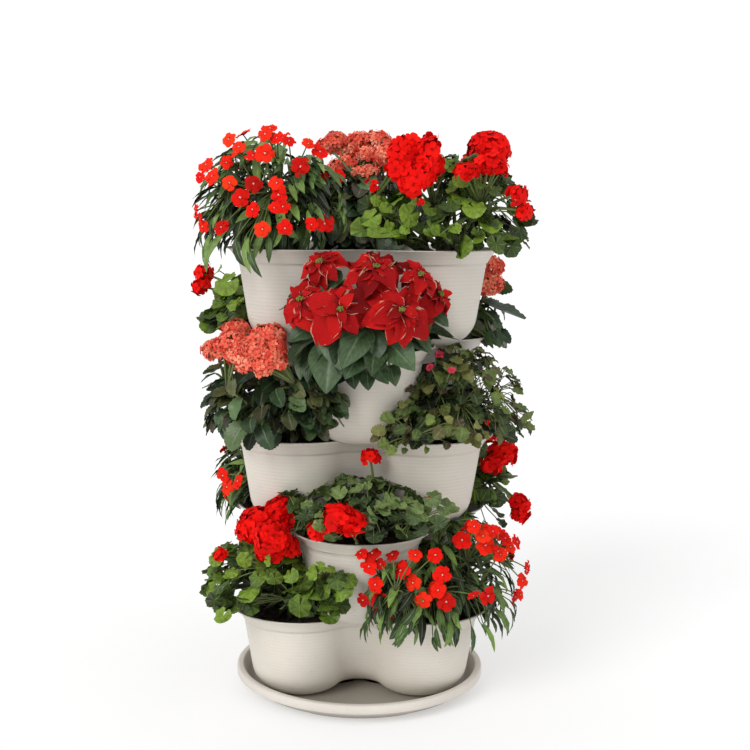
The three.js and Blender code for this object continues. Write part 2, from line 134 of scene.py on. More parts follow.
# Flowers in millimetres from each plant's lobe: out from the axis, to the right, above the rim,
# and the radius of the head, cluster or single flower
BLOOMS = {
    "tier_1_geranium_left": [
        (160, 42, 116, 27), (132, 46, 128, 25), (156, 70, 108, 26), (152, 60, 92, 22), (160, 26, 108, 22),
        (124, 66, 94, 16), (199, 20, 80, 10),
    ],
    "tier_1_impatiens_right": [
        (89, -154, 104, 10), (101, -149, 105, 12), (96, -147, 85, 12), (101, -141, 63, 12),
        (87, -144, 43, 11), (105, -138, 43, 12), (126, -128, 80, 13), (119, -135, 100, 9),
        (140, -120, 99, 10), (157, -104, 97, 11), (162, -95, 72, 13), (137, -119, 65, 11),
        (159, -100, 55, 11), (147, -112, 43, 12), (166, -92, 40, 13), (108, -142, 88, 8),
        (168, -59, 105, 13), (190, -42, 98, 13), (166, -35, 118, 12), (182, -14, 112, 11),
        (198, -6, 100, 12), (203, -28, 86, 11), (206, 12, 92, 11), (199, -50, 41, 14), (188, -66, 44, 9),
        (208, 29, 40, 12), (210, 37, 54, 11), (209, 6, 26, 11), (190, -75, 128, 10), (196, -63, 115, 10),
        (200, -45, 117, 10), (205, -21, 104, 10), (203, -36, 92, 10), (206, -6, 90, 9), (52, -66, 18, 11),
        (70, -76, 20, 13), (150, -88, 52, 11), (208, 24, 24, 9), (168, 44, 90, 12), (180, 62, 60, 12),
        (140, 78, 40, 11),
    ],
    "tier_2_geranium_front": [
        (118, 10, 92, 11), (136, 84, 46, 8), (196, -22, 37, 21), (194, -8, 30, 17), (184, -48, 18, 13),
        (184, -36, 22, 11),
    ],
    "tier_2_impatiens_rear_left": [
        (158, 72, 38, 11), (152, 72, 24, 11), (134, 74, 34, 11), (150, 61, 80, 10), (165, 54, 4, 9),
        (190, 10, 60, 12), (170, -30, 80, 12), (140, -50, 70, 11), (200, -10, 30, 12), (180, 36, 66, 11),
        (150, 10, 96, 12), (120, -60, 40, 11),
    ],
    "tier_2_geranium_rear_right": [
        (162, -72, 68, 21), (143, -76, 58, 14), (190, -74, 2, 14), (188, -77, -13, 13), (186, 6, 84, 26),
    ],
    "tier_3_kalanchoe_left": [
        (200, 42, 109, 14), (194, 57, 118, 15), (185, 69, 111, 15), (172, 81, 124, 14), (163, 86, 126, 14),
        (160, 92, 113, 13), (179, 85, 109, 17), (168, 95, 104, 16), (160, 98, 98, 13), (188, 79, 94, 14),
        (177, 97, 92, 13), (195, 65, 102, 13), (150, -30, 116, 20), (176, -34, 96, 18), (140, 40, 118, 18),
    ],
    "tier_3_foliage_right": [(124, -45, 98, 7), (88, -50, 88, 5), (150, -60, 84, 5)],
    "tier_4_poinsettia_front": [
        (205, -22, 50, 47), (202, 40, 50, 47), (180, 14, 92, 42), (180, -64, 58, 36), (152, 82, 62, 38),
        (176, 60, 84, 30), (171, -44, 96, 31),
    ],
    "tier_4_geranium_rear_left": [(200, 48, 70, 13), (202, 50, 54, 12), (150, -30, 76, 24)],
    "tier_4_kalanchoe_rear_right": [(142, -62, 62, 19), (170, -20, 80, 20), (140, 40, 74, 19)],
    "tier_5_impatiens_left": [
        (162, 73, 120, 9), (152, 81, 116, 8), (142, 90, 113, 9), (120, 91, 111, 8), (184, 55, 107, 9),
        (188, 55, 101, 7), (176, 72, 98, 10), (168, 85, 100, 12), (106, 91, 103, 10), (195, 47, 91, 8),
        (134, 100, 87, 12), (109, 99, 80, 11), (213, 17, 76, 8), (207, 36, 77, 11), (197, 58, 70, 9),
        (182, 86, 69, 11), (164, 104, 70, 10), (164, 108, 58, 10), (193, 76, 55, 11), (185, 89, 43, 9),
        (169, 108, 45, 7), (161, 112, 46, 9), (214, 17, 32, 8), (213, 21, 24, 8), (205, 53, 24, 10),
        (180, 102, 23, 10), (160, 115, 24, 10), (130, 117, 28, 8), (117, 122, 29, 11), (85, 96, 78, 8),
        (190, -20, 90, 11), (150, -10, 124, 11), (170, -50, 70, 11), (130, -60, 92, 11), (110, 10, 120, 11),
        (204, -20, 40, 10), (180, 20, 116, 10), (140, 40, 128, 10),
    ],
    "tier_5_geranium_right": [
        (115, -116, 102, 20), (136, -108, 104, 16), (112, -118, 86, 18), (144, -107, 91, 14),
        (124, -116, 70, 16), (134, -110, 82, 18), (187, -60, 91, 14), (181, -68, 89, 10),
        (194, -52, 88, 11), (170, -84, 82, 11), (176, -77, 83, 9), (212, -36, 60, 12), (214, -23, 42, 12),
        (83, -122, 68, 7), (134, -112, 52, 5), (150, 20, 108, 28), (120, 60, 90, 24),
    ],
    "tier_5_kalanchoe_rear": [
        (100, 34, 122, 17), (96, 46, 117, 12), (104, 20, 112, 14), (120, 10, 123, 14), (110, -18, 123, 18),
        (100, -34, 110, 15), (96, -6, 106, 15), (92, -24, 103, 14), (84, 4, 84, 12), (82, -8, 86, 11),
        (96, 20, 98, 12), (150, 4, 124, 19), (168, -24, 96, 18), (160, 30, 92, 17), (140, -34, 112, 17),
        (136, 34, 116, 16),
    ],
}

# Where leaves reach round the pot above: out, to the right, above the rim and radius in millimetres,
# the share of the leaves that grow there, and how far in degrees the plant reaches to that side
SKIRTS = {
    "tier_1_geranium_left": (118, 100, 52, 40, 0.24, 63),
    "tier_1_impatiens_right": (112, -114, 54, 46, 0.26, 66),
    "tier_3_foliage_right": (118, -102, 26, 30, 0.16, 62),
    "tier_3_kalanchoe_left": (124, 110, 67, 38, 0.34, 61),
    "tier_5_impatiens_left": (112, 86, 64, 46, 0.26, 62),
    "tier_5_geranium_right": (58, -70, 34, 34, 0.16, 68),
    "tier_5_kalanchoe_rear": (82, 14, 60, 50, 0.5, 57.5),
}

# How far from the tower's axis the leaf joints of the more upright plants reach, in metres
EDGES = {
    "tier_1_geranium_left": 0.192, "tier_3_kalanchoe_left": 0.188, "tier_4_kalanchoe_rear_right": 0.180,
    "tier_5_geranium_right": 0.192, "tier_5_impatiens_left": 0.202,
}

# Leaves that the photograph shows one by one, in millimetres from each plant's lobe: out, to the right,
# above the rim, and the length of the blade
SHOWN = {
    "tier_1_geranium_left": [
        (203, 31, 47, 28), (210, 26, 28, 22), (185, 44, 30, 22), (209, 47, 15, 22), (175, 70, 62, 22),
        (161, 85, 64, 20), (149, 101, 70, 19), (131, 118, 75, 19), (149, 124, 40, 27), (183, 52, 80, 19),
        (106, 130, 67, 24), (104, 132, 50, 20), (94, 139, 66, 20), (97, 138, 54, 18), (114, 130, 24, 24),
        (120, 118, 88, 15), (110, 124, 86, 16), (130, 112, 53, 14), (118, 125, 54, 15), (204, 17, 74, 16),
        (192, 37, 63, 15), (166, 79, 84, 15), (102, 132, 76, 13),
    ],
    "tier_2_geranium_front": [
        (158, 86, 16, 28), (147, 96, 36, 24), (150, 80, 51, 22), (147, 102, 30, 20), (164, 66, 16, 20),
    ],
    "tier_2_geranium_rear_right": [
        (160, -60, -6, 33), (146, -66, -22, 20), (166, -68, -22, 17), (143, -48, 29, 20),
    ],
    "tier_3_kalanchoe_left": [
        (197, 66, 18, 36), (178, 95, 19, 30), (188, 82, 33, 32), (176, 87, 42, 28), (155, 114, 36, 26),
        (135, 122, 31, 26), (122, 126, 48, 26), (142, 113, 56, 26), (162, 99, 60, 26), (195, 61, 47, 26),
        (198, 58, 69, 22), (112, 130, 61, 21), (125, 121, 69, 22), (130, 113, 86, 19), (116, 121, 86, 17),
        (105, 134, 44, 19), (114, 129, 30, 19), (122, 126, 22, 19), (100, 134, 57, 17),
    ],
    "tier_3_foliage_right": [
        (113, -138, 38, 19), (106, -143, 25, 16), (111, -142, 10, 16), (102, -144, 17, 13),
        (120, -140, 4, 14), (162, -110, 24, 17), (181, -94, 22, 17), (141, -125, 22, 14),
        (193, -79, 30, 14), (207, -44, 20, 15), (213, -16, 23, 13), (169, -100, 36, 13),
        (151, -112, 38, 13), (125, -132, 26, 14),
    ],
    "tier_4_poinsettia_front": [
        (186, -34, -7, 62), (192, 11, 12, 42), (186, 40, 4, 45), (195, -18, 7, 48), (183, -34, 16, 43),
        (178, 24, 26, 32), (170, 60, 15, 37), (166, -63, 25, 37), (170, -34, 78, 32), (164, -66, 62, 24),
        (150, 84, 37, 24), (198, -8, -5, 38), (176, -10, -22, 28), (171, 6, -25, 26), (171, 20, -19, 28),
        (169, -49, -20, 30), (173, 33, -21, 26), (169, -24, -25, 24),
    ],
    "tier_4_geranium_rear_left": [
        (147, 73, 62, 34), (131, 76, 39, 24), (158, 68, 11, 18), (132, 65, 12, 18), (166, 62, 76, 17),
        (150, 50, 44, 20),
    ],
    "tier_4_kalanchoe_rear_right": [
        (152, -65, 32, 62), (129, -74, 24, 36), (130, -86, 4, 29), (123, -71, -9, 24), (152, -62, 58, 38),
    ],
    "tier_5_impatiens_left": [
        (190, 76, 2, 42), (188, 85, -6, 40), (152, 113, 2, 34), (197, 70, -2, 36), (210, 27, 0, 42),
        (206, 44, 12, 34),
    ],
    "tier_5_geranium_right": [
        (74, -130, 20, 28), (81, -124, 34, 24), (103, -120, 16, 26), (102, -143, 1, 26), (114, -97, 38, 26),
        (130, -86, 46, 22), (152, -100, 9, 26), (151, -77, 48, 24), (175, -68, 46, 26), (189, -58, 42, 24),
        (198, -58, 8, 24), (144, -108, 7, 17), (161, -70, 75, 20), (176, -61, 73, 16), (190, -48, 65, 15),
        (90, -107, 45, 15), (116, -111, 21, 13), (160, -82, 25, 15), (180, -66, 21, 15), (81, -112, 53, 13),
    ],
}

# Half widths along leaves and petals, from the root to the tip
LANCE = np.sin(np.pi * np.linspace(0.03, 0.985, 9) ** 0.85) ** 0.85
OVAL = np.sin(np.pi * np.linspace(0.05, 0.97, 9) ** 0.8) ** 0.6
POINTED = np.sin(np.pi * np.linspace(0.05, 0.985, 9) ** 0.72) ** 0.9
PETAL = np.array([0.2, 0.62, 0.9, 1.0, 0.88, 0.42])
SMALL_PETAL = np.array([0.3, 0.85, 1.0, 0.45])
WIDE_PETAL = np.array([0.14, 0.5, 0.8, 0.96, 1.0, 0.86, 0.5])

# Florets of each kind: petals, profile, columns, half width, lift, bend, fold and ruffle
FLORETS = {
    "geranium": (5, PETAL, 5, 0.44, 0.12, 0.3, 0.08, 0.10),
    "impatiens": (5, WIDE_PETAL, 7, 0.47, 0.14, 0.5, -0.14, 0.34),
    "kalanchoe": (4, SMALL_PETAL, 3, 0.32, 0.3, 0.6, 0.2, 0.1),
    "foliage": (5, PETAL, 5, 0.5, 0.35, 0.4, 0.1, 0.2),
}

# Leaf looks: name, dark, middle, light and vein colours, roughness, whether the veins fan out, the colour
# of the ring on the blade, and two colours that some of the leaves have instead
# The dark end of each leaf ramp is reached partly through painted shade on leaves deep in the canopy
LEAF_LOOKS = {
    "front": ("zoned_geranium_leaf", "#1a2411", "#3c5126", "#758a4c", "#99aa78", 0.5, True, "#2e2018"),
    "geranium": ("geranium_leaf", "#15220a", "#3f5a18", "#769428", "#a2b258", 0.5, True, "#3c3018"),
    "impatiens": ("impatiens_leaf", "#121e0c", "#3c5a26", "#7c9a48", "#bccc92", 0.42),
    "kalanchoe": ("kalanchoe_leaf", "#121c0e", "#2b4324", "#587244", "#789268", 0.36, False, None,
                  ("#4c3a28", "#6f6a3c")),
    "foliage": ("mixed_foliage_leaf", "#16200d", "#36491f", "#6c7e38", "#8f9e5e", 0.48, False, None,
                ("#583430", "#90884a")),
    "poinsettia": ("poinsettia_leaf", "#1a2816", "#304628", "#4c6440", "#7c9468", 0.42),
}

# Petal looks: name, the deepest, middle and lightest colours, the throat's, the streaks' and the eye's
PETAL_LOOKS = {
    "geranium": ("geranium_petal", "#cc0502", "#ee0804", "#fa180a", "#a00402"),
    "impatiens": ("impatiens_petal", "#b80c05", "#ec1408", "#fa3c18", "#a00804", None, "#f0c8b8"),
    "kalanchoe": ("kalanchoe_petal", "#da4234", "#f66a54", "#ffa888", "#b83222"),
    "foliage": ("small_flower_petal", "#c81f3c", "#e23350", "#f06a80", "#9a1430"),
    "poinsettia": ("poinsettia_bract", "#6c0508", "#a60a0e", "#c81816", "#64060a", "#e6cfae"),
}
BLACK, GREY, WHITE = "#000000", "#c0c0c0", "#ffffff"

# Suns of the stage: name, turn in degrees, power and width in degrees
SUNS = (("key", (60, 0, -36), 1.50, 30), ("fill", (64, 0, 44), 0.26, 70), ("top", (8, 0, 0), 0.42, 100))


# ---------------------------------------------------------------- geometry helpers

def direction(azimuth):
    """Level unit vectors at azimuths counted from the front (-Y), turning to the right (+X)."""
    return np.stack([np.sin(azimuth), -np.cos(azimuth)], -1)


def polar(points):
    """Azimuths and distances from the axis of points."""
    return np.arctan2(points[..., 0], -points[..., 1]), np.hypot(points[..., 0], points[..., 1])


def raised(level, height):
    """Points from level places and their heights."""
    height = np.asarray(height, float)[..., None]
    return np.concatenate([level, np.broadcast_to(height, level.shape[:-1] + (1,))], -1)


def unit(v):
    """Vectors brought to a length of one."""
    return v / np.maximum(np.linalg.norm(v, axis=-1, keepdims=True), 1e-9)


def column(values):
    """Numbers as an array with one blade, row and column to each."""
    return np.asarray(values, float).reshape(-1, 1, 1)


def arcs(height, offset):
    """Of the outline at heights over the base: lobe radius, valley radius, valley centre distance, and the
    half angles that the valley's and the lobe's arcs sweep."""
    rise = np.clip(np.asarray(height) / COLLAR, 0, 1)
    lobe = LOBE_BASE + (LOBE_COLLAR - LOBE_BASE) * rise
    valley = VALLEY_BASE + (VALLEY_COLLAR - VALLEY_BASE) * rise
    side = LOBE_OFFSET * math.sin(HALF)
    along = np.sqrt((lobe + valley) ** 2 - side ** 2)
    centre = LOBE_OFFSET * math.cos(HALF) + along
    lobe_sweep = np.arctan2(centre * math.sin(HALF), centre * math.cos(HALF) - LOBE_OFFSET)
    return lobe + offset, valley - offset, centre, np.arctan2(side, along), lobe_sweep


def outline_rings(height, offset, turn, lobe_steps=64, valley_steps=32):
    """Rings of the three-lobed outline: lobe arcs about centres one lobe offset from the axis, joined
    tangent by hollow valley arcs whose centres lie one summed radius further on."""
    height, offset = np.asarray(height, float)[:, None], np.asarray(offset, float)[:, None]
    lobe, valley, centre, valley_sweep, lobe_sweep = arcs(height, offset)
    out = np.linspace(-1, 1, lobe_steps, endpoint=False)[None]
    back = np.linspace(1, -1, valley_steps, endpoint=False)[None]
    rings = []
    for k in range(LOBES):
        azimuth = turn + k * SPACING
        bulge = lobe[..., None] * direction(azimuth + lobe_sweep * out)
        hollow = valley[..., None] * direction(azimuth + HALF + math.pi + valley_sweep * back)
        rings += [direction(azimuth) * LOBE_OFFSET + bulge,
                  direction(azimuth + HALF) * centre[..., None] + hollow]
    return raised(np.concatenate(rings, 1), height)


def outline_reach(azimuth, height, offset, turn):
    """Distance from the axis to the outline in each direction, by the two circle equations."""
    lobe, valley, centre, _, sweep = arcs(height, offset)
    from_lobe = np.mod(azimuth - turn + HALF, SPACING) - HALF
    tangent = np.arctan2(lobe * np.sin(sweep), LOBE_OFFSET + lobe * np.cos(sweep))
    on_lobe = (LOBE_OFFSET * np.cos(from_lobe)
               + np.sqrt(np.maximum(lobe ** 2 - (LOBE_OFFSET * np.sin(from_lobe)) ** 2, 0)))
    rest = HALF - np.abs(from_lobe)
    on_valley = centre * np.cos(rest) - np.sqrt(np.maximum(valley ** 2 - (centre * np.sin(rest)) ** 2, 0))
    return np.where(np.abs(from_lobe) <= tangent, on_lobe, on_valley)


def faces(count, rings, cols, wrap, poles):
    """Triangles and quads of count like grids. With poles, a grid's points are the start pole, the rings
    and the end pole, and each pole is a fan."""
    first, last = poles
    per = int(first) + rings * cols + int(last)
    a = np.arange(cols if wrap else cols - 1)
    b = (a + 1) % cols
    r = np.arange(rings - 1)[:, None]
    low, high = int(first) + r * cols, int(first) + (r + 1) * cols
    quads = np.stack([low + a, low + b, high + b, high + a], -1).reshape(-1, 4)
    fans = [np.zeros((0, 3), int)]
    if first:
        fans.append(np.stack([np.zeros_like(a), 1 + b, 1 + a], -1))
    if last:
        top = int(first) + (rings - 1) * cols
        fans.append(np.stack([np.full_like(a, per - 1), top + a, top + b], -1))
    shift = (np.arange(count) * per)[:, None, None]
    return (np.concatenate(fans)[None] + shift).reshape(-1, 3), (quads[None] + shift).reshape(-1, 4)


def part(points, rings, cols, wrap=True, poles=(False, False), marks=None, look=0, outward=False):
    """A set of like grids as one part: points (count, per grid, 3), marks the same shape, a look number.
    outward turns the faces so that the whole encloses a positive volume."""
    tris, quads = faces(len(points), rings, cols, wrap, poles)
    flat = points.reshape(-1, 3)
    if outward:
        fan = np.concatenate([tris, quads[:, [0, 1, 2]], quads[:, [0, 2, 3]]])
        a, b, c = (flat[fan[:, k]] for k in range(3))
        if np.sum(a * np.cross(b, c)) < 0:
            tris, quads = tris[:, ::-1], quads[:, ::-1]
    marks = np.zeros_like(flat) if marks is None else marks.reshape(-1, 3)
    return flat, tris, quads, marks, look


def closed_rings(rings, low, high):
    """One closed body from rings of points and the heights of its two poles on the axis."""
    points = np.concatenate([[[0, 0, low]], rings.reshape(-1, 3), [[0, 0, high]]])[None]
    return part(points, *rings.shape[:2], poles=BOTH, outward=True)


def piece(name, parts, materials, body, replaced):
    """One smooth object from parts. Each point's marks (across, along, tint) become an attribute."""
    starts = np.cumsum([0] + [len(flat) for flat, *_ in parts])
    points, marks = (np.concatenate([p[k] for p in parts]) for k in (0, 3))
    tris, quads = (np.concatenate([p[k] + start for p, start in zip(parts, starts)]) for k in (1, 2))
    looks = np.concatenate([np.full(len(p[k]), p[4]) for k in (1, 2) for p in parts])
    loops = np.concatenate([tris.ravel(), quads.ravel()])
    sizes = np.concatenate([np.full(len(tris), 3), np.full(len(quads), 4)])
    mesh = bpy.data.meshes.new(name)
    mesh.vertices.add(len(points))
    mesh.loops.add(len(loops))
    mesh.polygons.add(len(sizes))
    mesh.vertices.foreach_set("co", points.astype(np.float32).ravel())
    mesh.loops.foreach_set("vertex_index", loops.astype(np.int32))
    mesh.polygons.foreach_set("loop_start", (np.cumsum(sizes) - sizes).astype(np.int32))
    mesh.polygons.foreach_set("material_index", looks.astype(np.int32))
    mesh.polygons.foreach_set("use_smooth", np.ones(len(sizes), bool))
    attribute = mesh.attributes.new("marks", "FLOAT_VECTOR", "POINT")
    attribute.data.foreach_set("vector", marks.astype(np.float32).ravel())
    mesh.update()
    mesh.validate()
    for material in materials:
        mesh.materials.append(material)
    obj = bpy.data.objects.new(name, mesh)
    bpy.context.scene.collection.objects.link(obj)
    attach(obj, body)
    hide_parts(*replaced)


# ---------------------------------------------------------------- materials

def linear(code):
    """An sRGB colour code as linear red, green, blue and alpha."""
    values = np.array([int(code[i:i + 2], 16) for i in (1, 3, 5)]) / 255
    return (*np.where(values <= 0.04045, values / 12.92, ((values + 0.055) / 1.055) ** 2.4), 1.0)


def darker(code, share):
    """A colour code with its values brought down to a share."""
    return "#" + "".join(f"{round(int(code[i:i + 2], 16) * share):02x}" for i in (1, 3, 5))


def put(tree, node, inputs):
    """Set a node's inputs, or link those whose value is another node's socket."""
    for key, value in inputs.items():
        if isinstance(value, bpy.types.NodeSocket):
            tree.links.new(value, node.inputs[key])
        else:
            node.inputs[key].default_value = value


def add(tree, kind, inputs, **settings):
    """Add a shader node with its inputs and settings."""
    node = tree.nodes.new(kind)
    for key, value in settings.items():
        setattr(node, key, value)
    put(tree, node, inputs)
    return node


class Look:
    """A material in the making, with short calls for the nodes behind its colour and bump."""

    def __init__(self, name):
        self.made = bpy.data.materials.new(name)
        self.made.use_nodes = True
        self.tree = self.made.node_tree
        self.shader = self.tree.nodes["Principled BSDF"]

    def place(self):
        """Object coordinates."""
        return add(self.tree, "ShaderNodeTexCoord", {}).outputs["Object"]

    def split(self, vector):
        """The three values of a vector."""
        return add(self.tree, "ShaderNodeSeparateXYZ", {0: vector}).outputs[:3]

    def marks(self):
        """Across and along the blade, and its own tint."""
        node = add(self.tree, "ShaderNodeAttribute", {}, attribute_name="marks")
        return self.split(node.outputs["Vector"])

    def maths(self, how, *values):
        """The result of a maths node on sockets and numbers."""
        return add(self.tree, "ShaderNodeMath", dict(enumerate(values)), operation=how).outputs[0]

    def times(self, a, b, more=None):
        """A product, with more added to it."""
        return self.maths("MULTIPLY", a, b) if more is None else self.maths("MULTIPLY_ADD", a, b, more)

    def waves(self, value, number, how="COSINE"):
        """A wave of the value, number radians to one."""
        return self.maths(how, self.times(value, number))

    def carry(self, *values):
        """The first value carried from the range of the next two to that of the last two."""
        return add(self.tree, "ShaderNodeMapRange", dict(enumerate(values))).outputs[0]

    def noise(self, place, scale, detail, rough=0.5):
        """Cloudy noise."""
        inputs = {"Vector": place, "Scale": scale, "Detail": detail, "Roughness": rough}
        return add(self.tree, "ShaderNodeTexNoise", inputs).outputs[0]

    def ramp(self, value, *stops):
        """A colour ramp on a value, from (place, colour code) stops."""
        node = add(self.tree, "ShaderNodeValToRGB", {0: value})
        elements = node.color_ramp.elements
        while len(elements) < len(stops):
            elements.new(0.5)
        for element, (place, code) in zip(elements, stops):
            element.position = place
            element.color = linear(code)
        return node.outputs[0]

    def mix(self, amount, a, b, how="MIX"):
        """A colour mix of a and b, each a socket or a colour code."""
        a, b = (linear(colour) if isinstance(colour, str) else colour for colour in (a, b))
        inputs = {0: amount, 6: a, 7: b}
        return add(self.tree, "ShaderNodeMix", inputs, data_type="RGBA", blend_type=how).outputs[2]

    def finish(self, colour, rough, bump, strength, distance, shine=0.5):
        """Join colour, roughness and bump height to the shader and hand over the material."""
        inputs = {"Height": bump, "Strength": strength, "Distance": distance}
        normal = add(self.tree, "ShaderNodeBump", inputs).outputs[0]
        put(self.tree, self.shader, {
            "Base Color": colour, "Roughness": rough, "Normal": normal, "Specular IOR Level": shine})
        return self.made


def moulded_plastic(name, base, shade, ring_pitch, ring_depth, painted_shade_radius=None):
    """Injection-moulded polypropylene, matt and stone coloured. The mould was turned on a lathe, which
    leaves fine level lines, and painted shade darkens the colour in their grooves; flow during filling
    leaves faint cloudiness; outdoor dust sits in low spots.
    Painted shade darkens the inside of the saucer, within the painted shade radius."""
    look = Look(name)
    place = look.place()
    x, y, z = look.split(place)
    wobble, band = look.noise(place, 9, 3), look.noise(place, 26, 4)
    level = look.times(wobble, 0.0012, z)
    height = look.times(look.waves(level, 2 * math.pi / ring_pitch, "SINE"), band)
    cloud = look.ramp(wobble, (0.36, shade), (0.62, base))
    # painted shade: the colour darkens by up to about 4% in the grooves of the turned lines, following the
    # bump height
    fine = look.carry(height, -0.5, 0.5, 0.962, 1.0)
    painted_groove_shade = add(look.tree, "ShaderNodeCombineColor", {0: fine, 1: fine, 2: fine}).outputs[0]
    colour = look.mix(1.0, cloud, painted_groove_shade, "MULTIPLY")
    dust = look.ramp(look.noise(place, 320, 3), (0.62, BLACK), (0.74, WHITE))
    colour = look.mix(look.times(dust, 0.14), colour, "#8d8577")
    # painted shade inside the saucer: a darker colour within the painted shade radius
    if painted_shade_radius:
        level = add(look.tree, "ShaderNodeCombineXYZ", {0: x, 1: y}).outputs[0]
        far = add(look.tree, "ShaderNodeVectorMath", {0: level}, operation="LENGTH").outputs["Value"]
        colour = look.mix(look.carry(far, painted_shade_radius, painted_shade_radius - 0.006, 0.0, 0.85), colour, "#918b80")
    bump = look.times(look.noise(place, 900, 2), 0.22, height)
    return look.finish(colour, look.carry(band, 0.3, 0.7, 0.42, 0.56), bump, 0.5, ring_depth, 0.42)


def composted_bark(name):
    """Moist composted bark and peat: near-black crumbs with lighter fibres and a few pale grits."""
    look = Look(name)
    place = look.place()
    clod = look.noise(place, 160, 8, 0.7)
    grit = add(look.tree, "ShaderNodeTexVoronoi", {"Vector": place, "Scale": 210}).outputs["Distance"]
    colour = look.ramp(clod, (0.32, "#1a120c"), (0.5, "#38291c"), (0.64, "#5a4230"), (0.78, "#7d6044"))
    pale = look.times(look.ramp(grit, (0.06, WHITE), (0.12, BLACK)), 0.35)
    return look.finish(look.mix(pale, colour, "#8c8172"), 0.9, clod, 0.9, 0.003)


def leaf_blade(name, dark, mid, light, vein, rough, fan=False, zone=None, sorts=None):
    """A living leaf: waxy skin over green tissue. Light midrib and side veins stand a little proud, each
    leaf has its own tint, partly random and partly painted shade that darkens leaves deep in the canopy,
    and the tissue between the veins is mottled."""
    look = Look(name)
    place = look.place()
    across, along, tint = look.marks()
    mottle, patch = look.noise(place, 220, 5), look.noise(place, 45, 2)
    # tint holds painted shade: leaves deep in the canopy get lower tints and come out darker
    tone = look.maths("SUBTRACT", look.times(patch, 0.5, tint), 0.25)
    colour = look.ramp(tone, (0.1, dark), (0.5, mid), (0.86, light))
    if fan:
        width = look.carry(look.waves(across, 7 * math.pi), 0.9, 1.0, 0.0, 1.0)
        strong = look.carry(along, 0.15, 1.0, 0.85, 0.25)
    else:
        edge = look.maths("ABSOLUTE", across)
        side = look.carry(look.waves(look.times(edge, -0.35, along), 2 * math.pi * 8), 0.88, 1.0, 0.0, 0.5)
        width = look.maths("MAXIMUM", side, look.carry(edge, 0.03, 0.12, 1.0, 0.0))
        strong = look.carry(along, 0.0, 1.0, 0.9, 0.5)
    lines = look.times(width, strong)
    if zone:
        band = look.ramp(look.times(along, patch), (0.24, BLACK), (0.32, WHITE), (0.4, BLACK))
        colour = look.mix(look.times(band, 0.3), colour, zone)
    if sorts:
        share = look.maths("FRACT", look.times(tint, 7.3))
        other = look.ramp(share, (0.80, sorts[0]), (0.84, sorts[1]))
        colour = look.mix(look.ramp(share, (0.56, BLACK), (0.58, GREY)), colour, other)
    colour = look.mix(look.times(lines, 0.6), colour, vein)
    colour = look.mix(0.5, colour, look.ramp(mottle, (0.3, "#5a5a5a"), (0.7, "#c8c8c8")), "SOFT_LIGHT")
    return look.finish(colour, rough, look.times(mottle, 0.35, lines), 0.6, 0.0006, 0.38)


def petal_skin(name, deep, body, edge, throat, streak=None, eye=None):
    """A fresh petal: thin velvety tissue full of pigment. It is deeper in the throat, a little lighter at
    the rim, and finely ribbed along its length; each flower has its own tint."""
    look = Look(name)
    across, along, tint = look.marks()
    own = look.ramp(tint, (0.0, deep), (0.45, body), (1.0, edge))
    colour = look.mix(look.ramp(along, (0.0, WHITE), (0.28, BLACK)), own, throat)
    if eye:
        colour = look.mix(look.ramp(along, (0.04, WHITE), (0.09, BLACK)), colour, eye)
    colour = look.mix(look.ramp(along, (0.6, BLACK), (1.0, "#5a5a5a")), colour, edge)
    if streak:
        inputs = {0: across, 1: look.times(along, 0.5), 2: look.times(tint, 30)}
        blade = add(look.tree, "ShaderNodeCombineXYZ", inputs).outputs[0]
        amount = look.times(look.maths("ABSOLUTE", across), 0.42, look.noise(blade, 5, 4))
        colour = look.mix(look.ramp(amount, (0.96, BLACK), (1.02, GREY)), colour, streak)
    fine = look.noise(look.place(), 500, 3)
    colour = look.mix(0.35, colour, look.ramp(fine, (0.3, "#606060"), (0.7, GREY)), "SOFT_LIGHT")
    bump = look.times(fine, 0.5, look.waves(across, 2 * math.pi * 5))
    return look.finish(colour, 0.78, bump, 0.35, 0.0004, 0.14)


def green_stem(name, low, high):
    """A soft stem: ribbed green skin, more wooded and brown towards its foot."""
    look = Look(name)
    blotch = look.noise(look.place(), 260, 4)
    mixed = look.times(blotch, 0.5, look.marks()[1])
    return look.finish(look.ramp(mixed, (0.2, low), (0.75, high)), 0.55, blotch, 0.4, 0.0005)


# ---------------------------------------------------------------- settings

def colour_setting(name, about, default):
    """A colour of the add-on, in sRGB."""
    return bpy.props.FloatVectorProperty(
        name=name, description=about, default=default, size=3, min=0, max=1, subtype="COLOR_GAMMA")


def number_setting(name, about, default, low, high, **kind):
    """A number of the add-on."""
    return bpy.props.FloatProperty(name=name, description=about, default=default, min=low, max=high, **kind)


class PlanterSettings(bpy.types.PropertyGroup):
    """Sizes and colours that a user would change."""
    pot_colour: colour_setting("Pot colour", "Colour of the moulded pots", (0.868, 0.838, 0.792))
    saucer_colour: colour_setting("Saucer colour", "Colour of the moulded saucer", (0.875, 0.848, 0.808))
    line_pitch: number_setting("Line pitch", "Distance between the fine turned lines on the pots", 0.0042,
                               0.001, 0.02, unit="LENGTH")
    leaf_share: number_setting("Leaf share", "How many of the full number of leaves are made", 1.0,
                               0.1, 1.5, subtype="FACTOR")
    crumb: number_setting("Crumb size", "Radius of the largest crumbs on the potting mix", 0.0034,
                          0.001, 0.008, unit="LENGTH")
    light: number_setting("Light strength", "Strength of the studio light", 1.0, 0.1, 4.0)


def colour_code(values):
    """A colour setting as an sRGB code."""
    return "#" + "".join(f"{round(255 * v):02x}" for v in values)


# ---------------------------------------------------------------- pots, potting mix and saucer

def tier_turn(tier):
    """Azimuth of a tier's first lobe."""
    return HALF if tier % 2 else 0.0


def base_height(tier):
    """Height of the underside of a tier's pot."""
    return BASE + (tier - 1) * PITCH


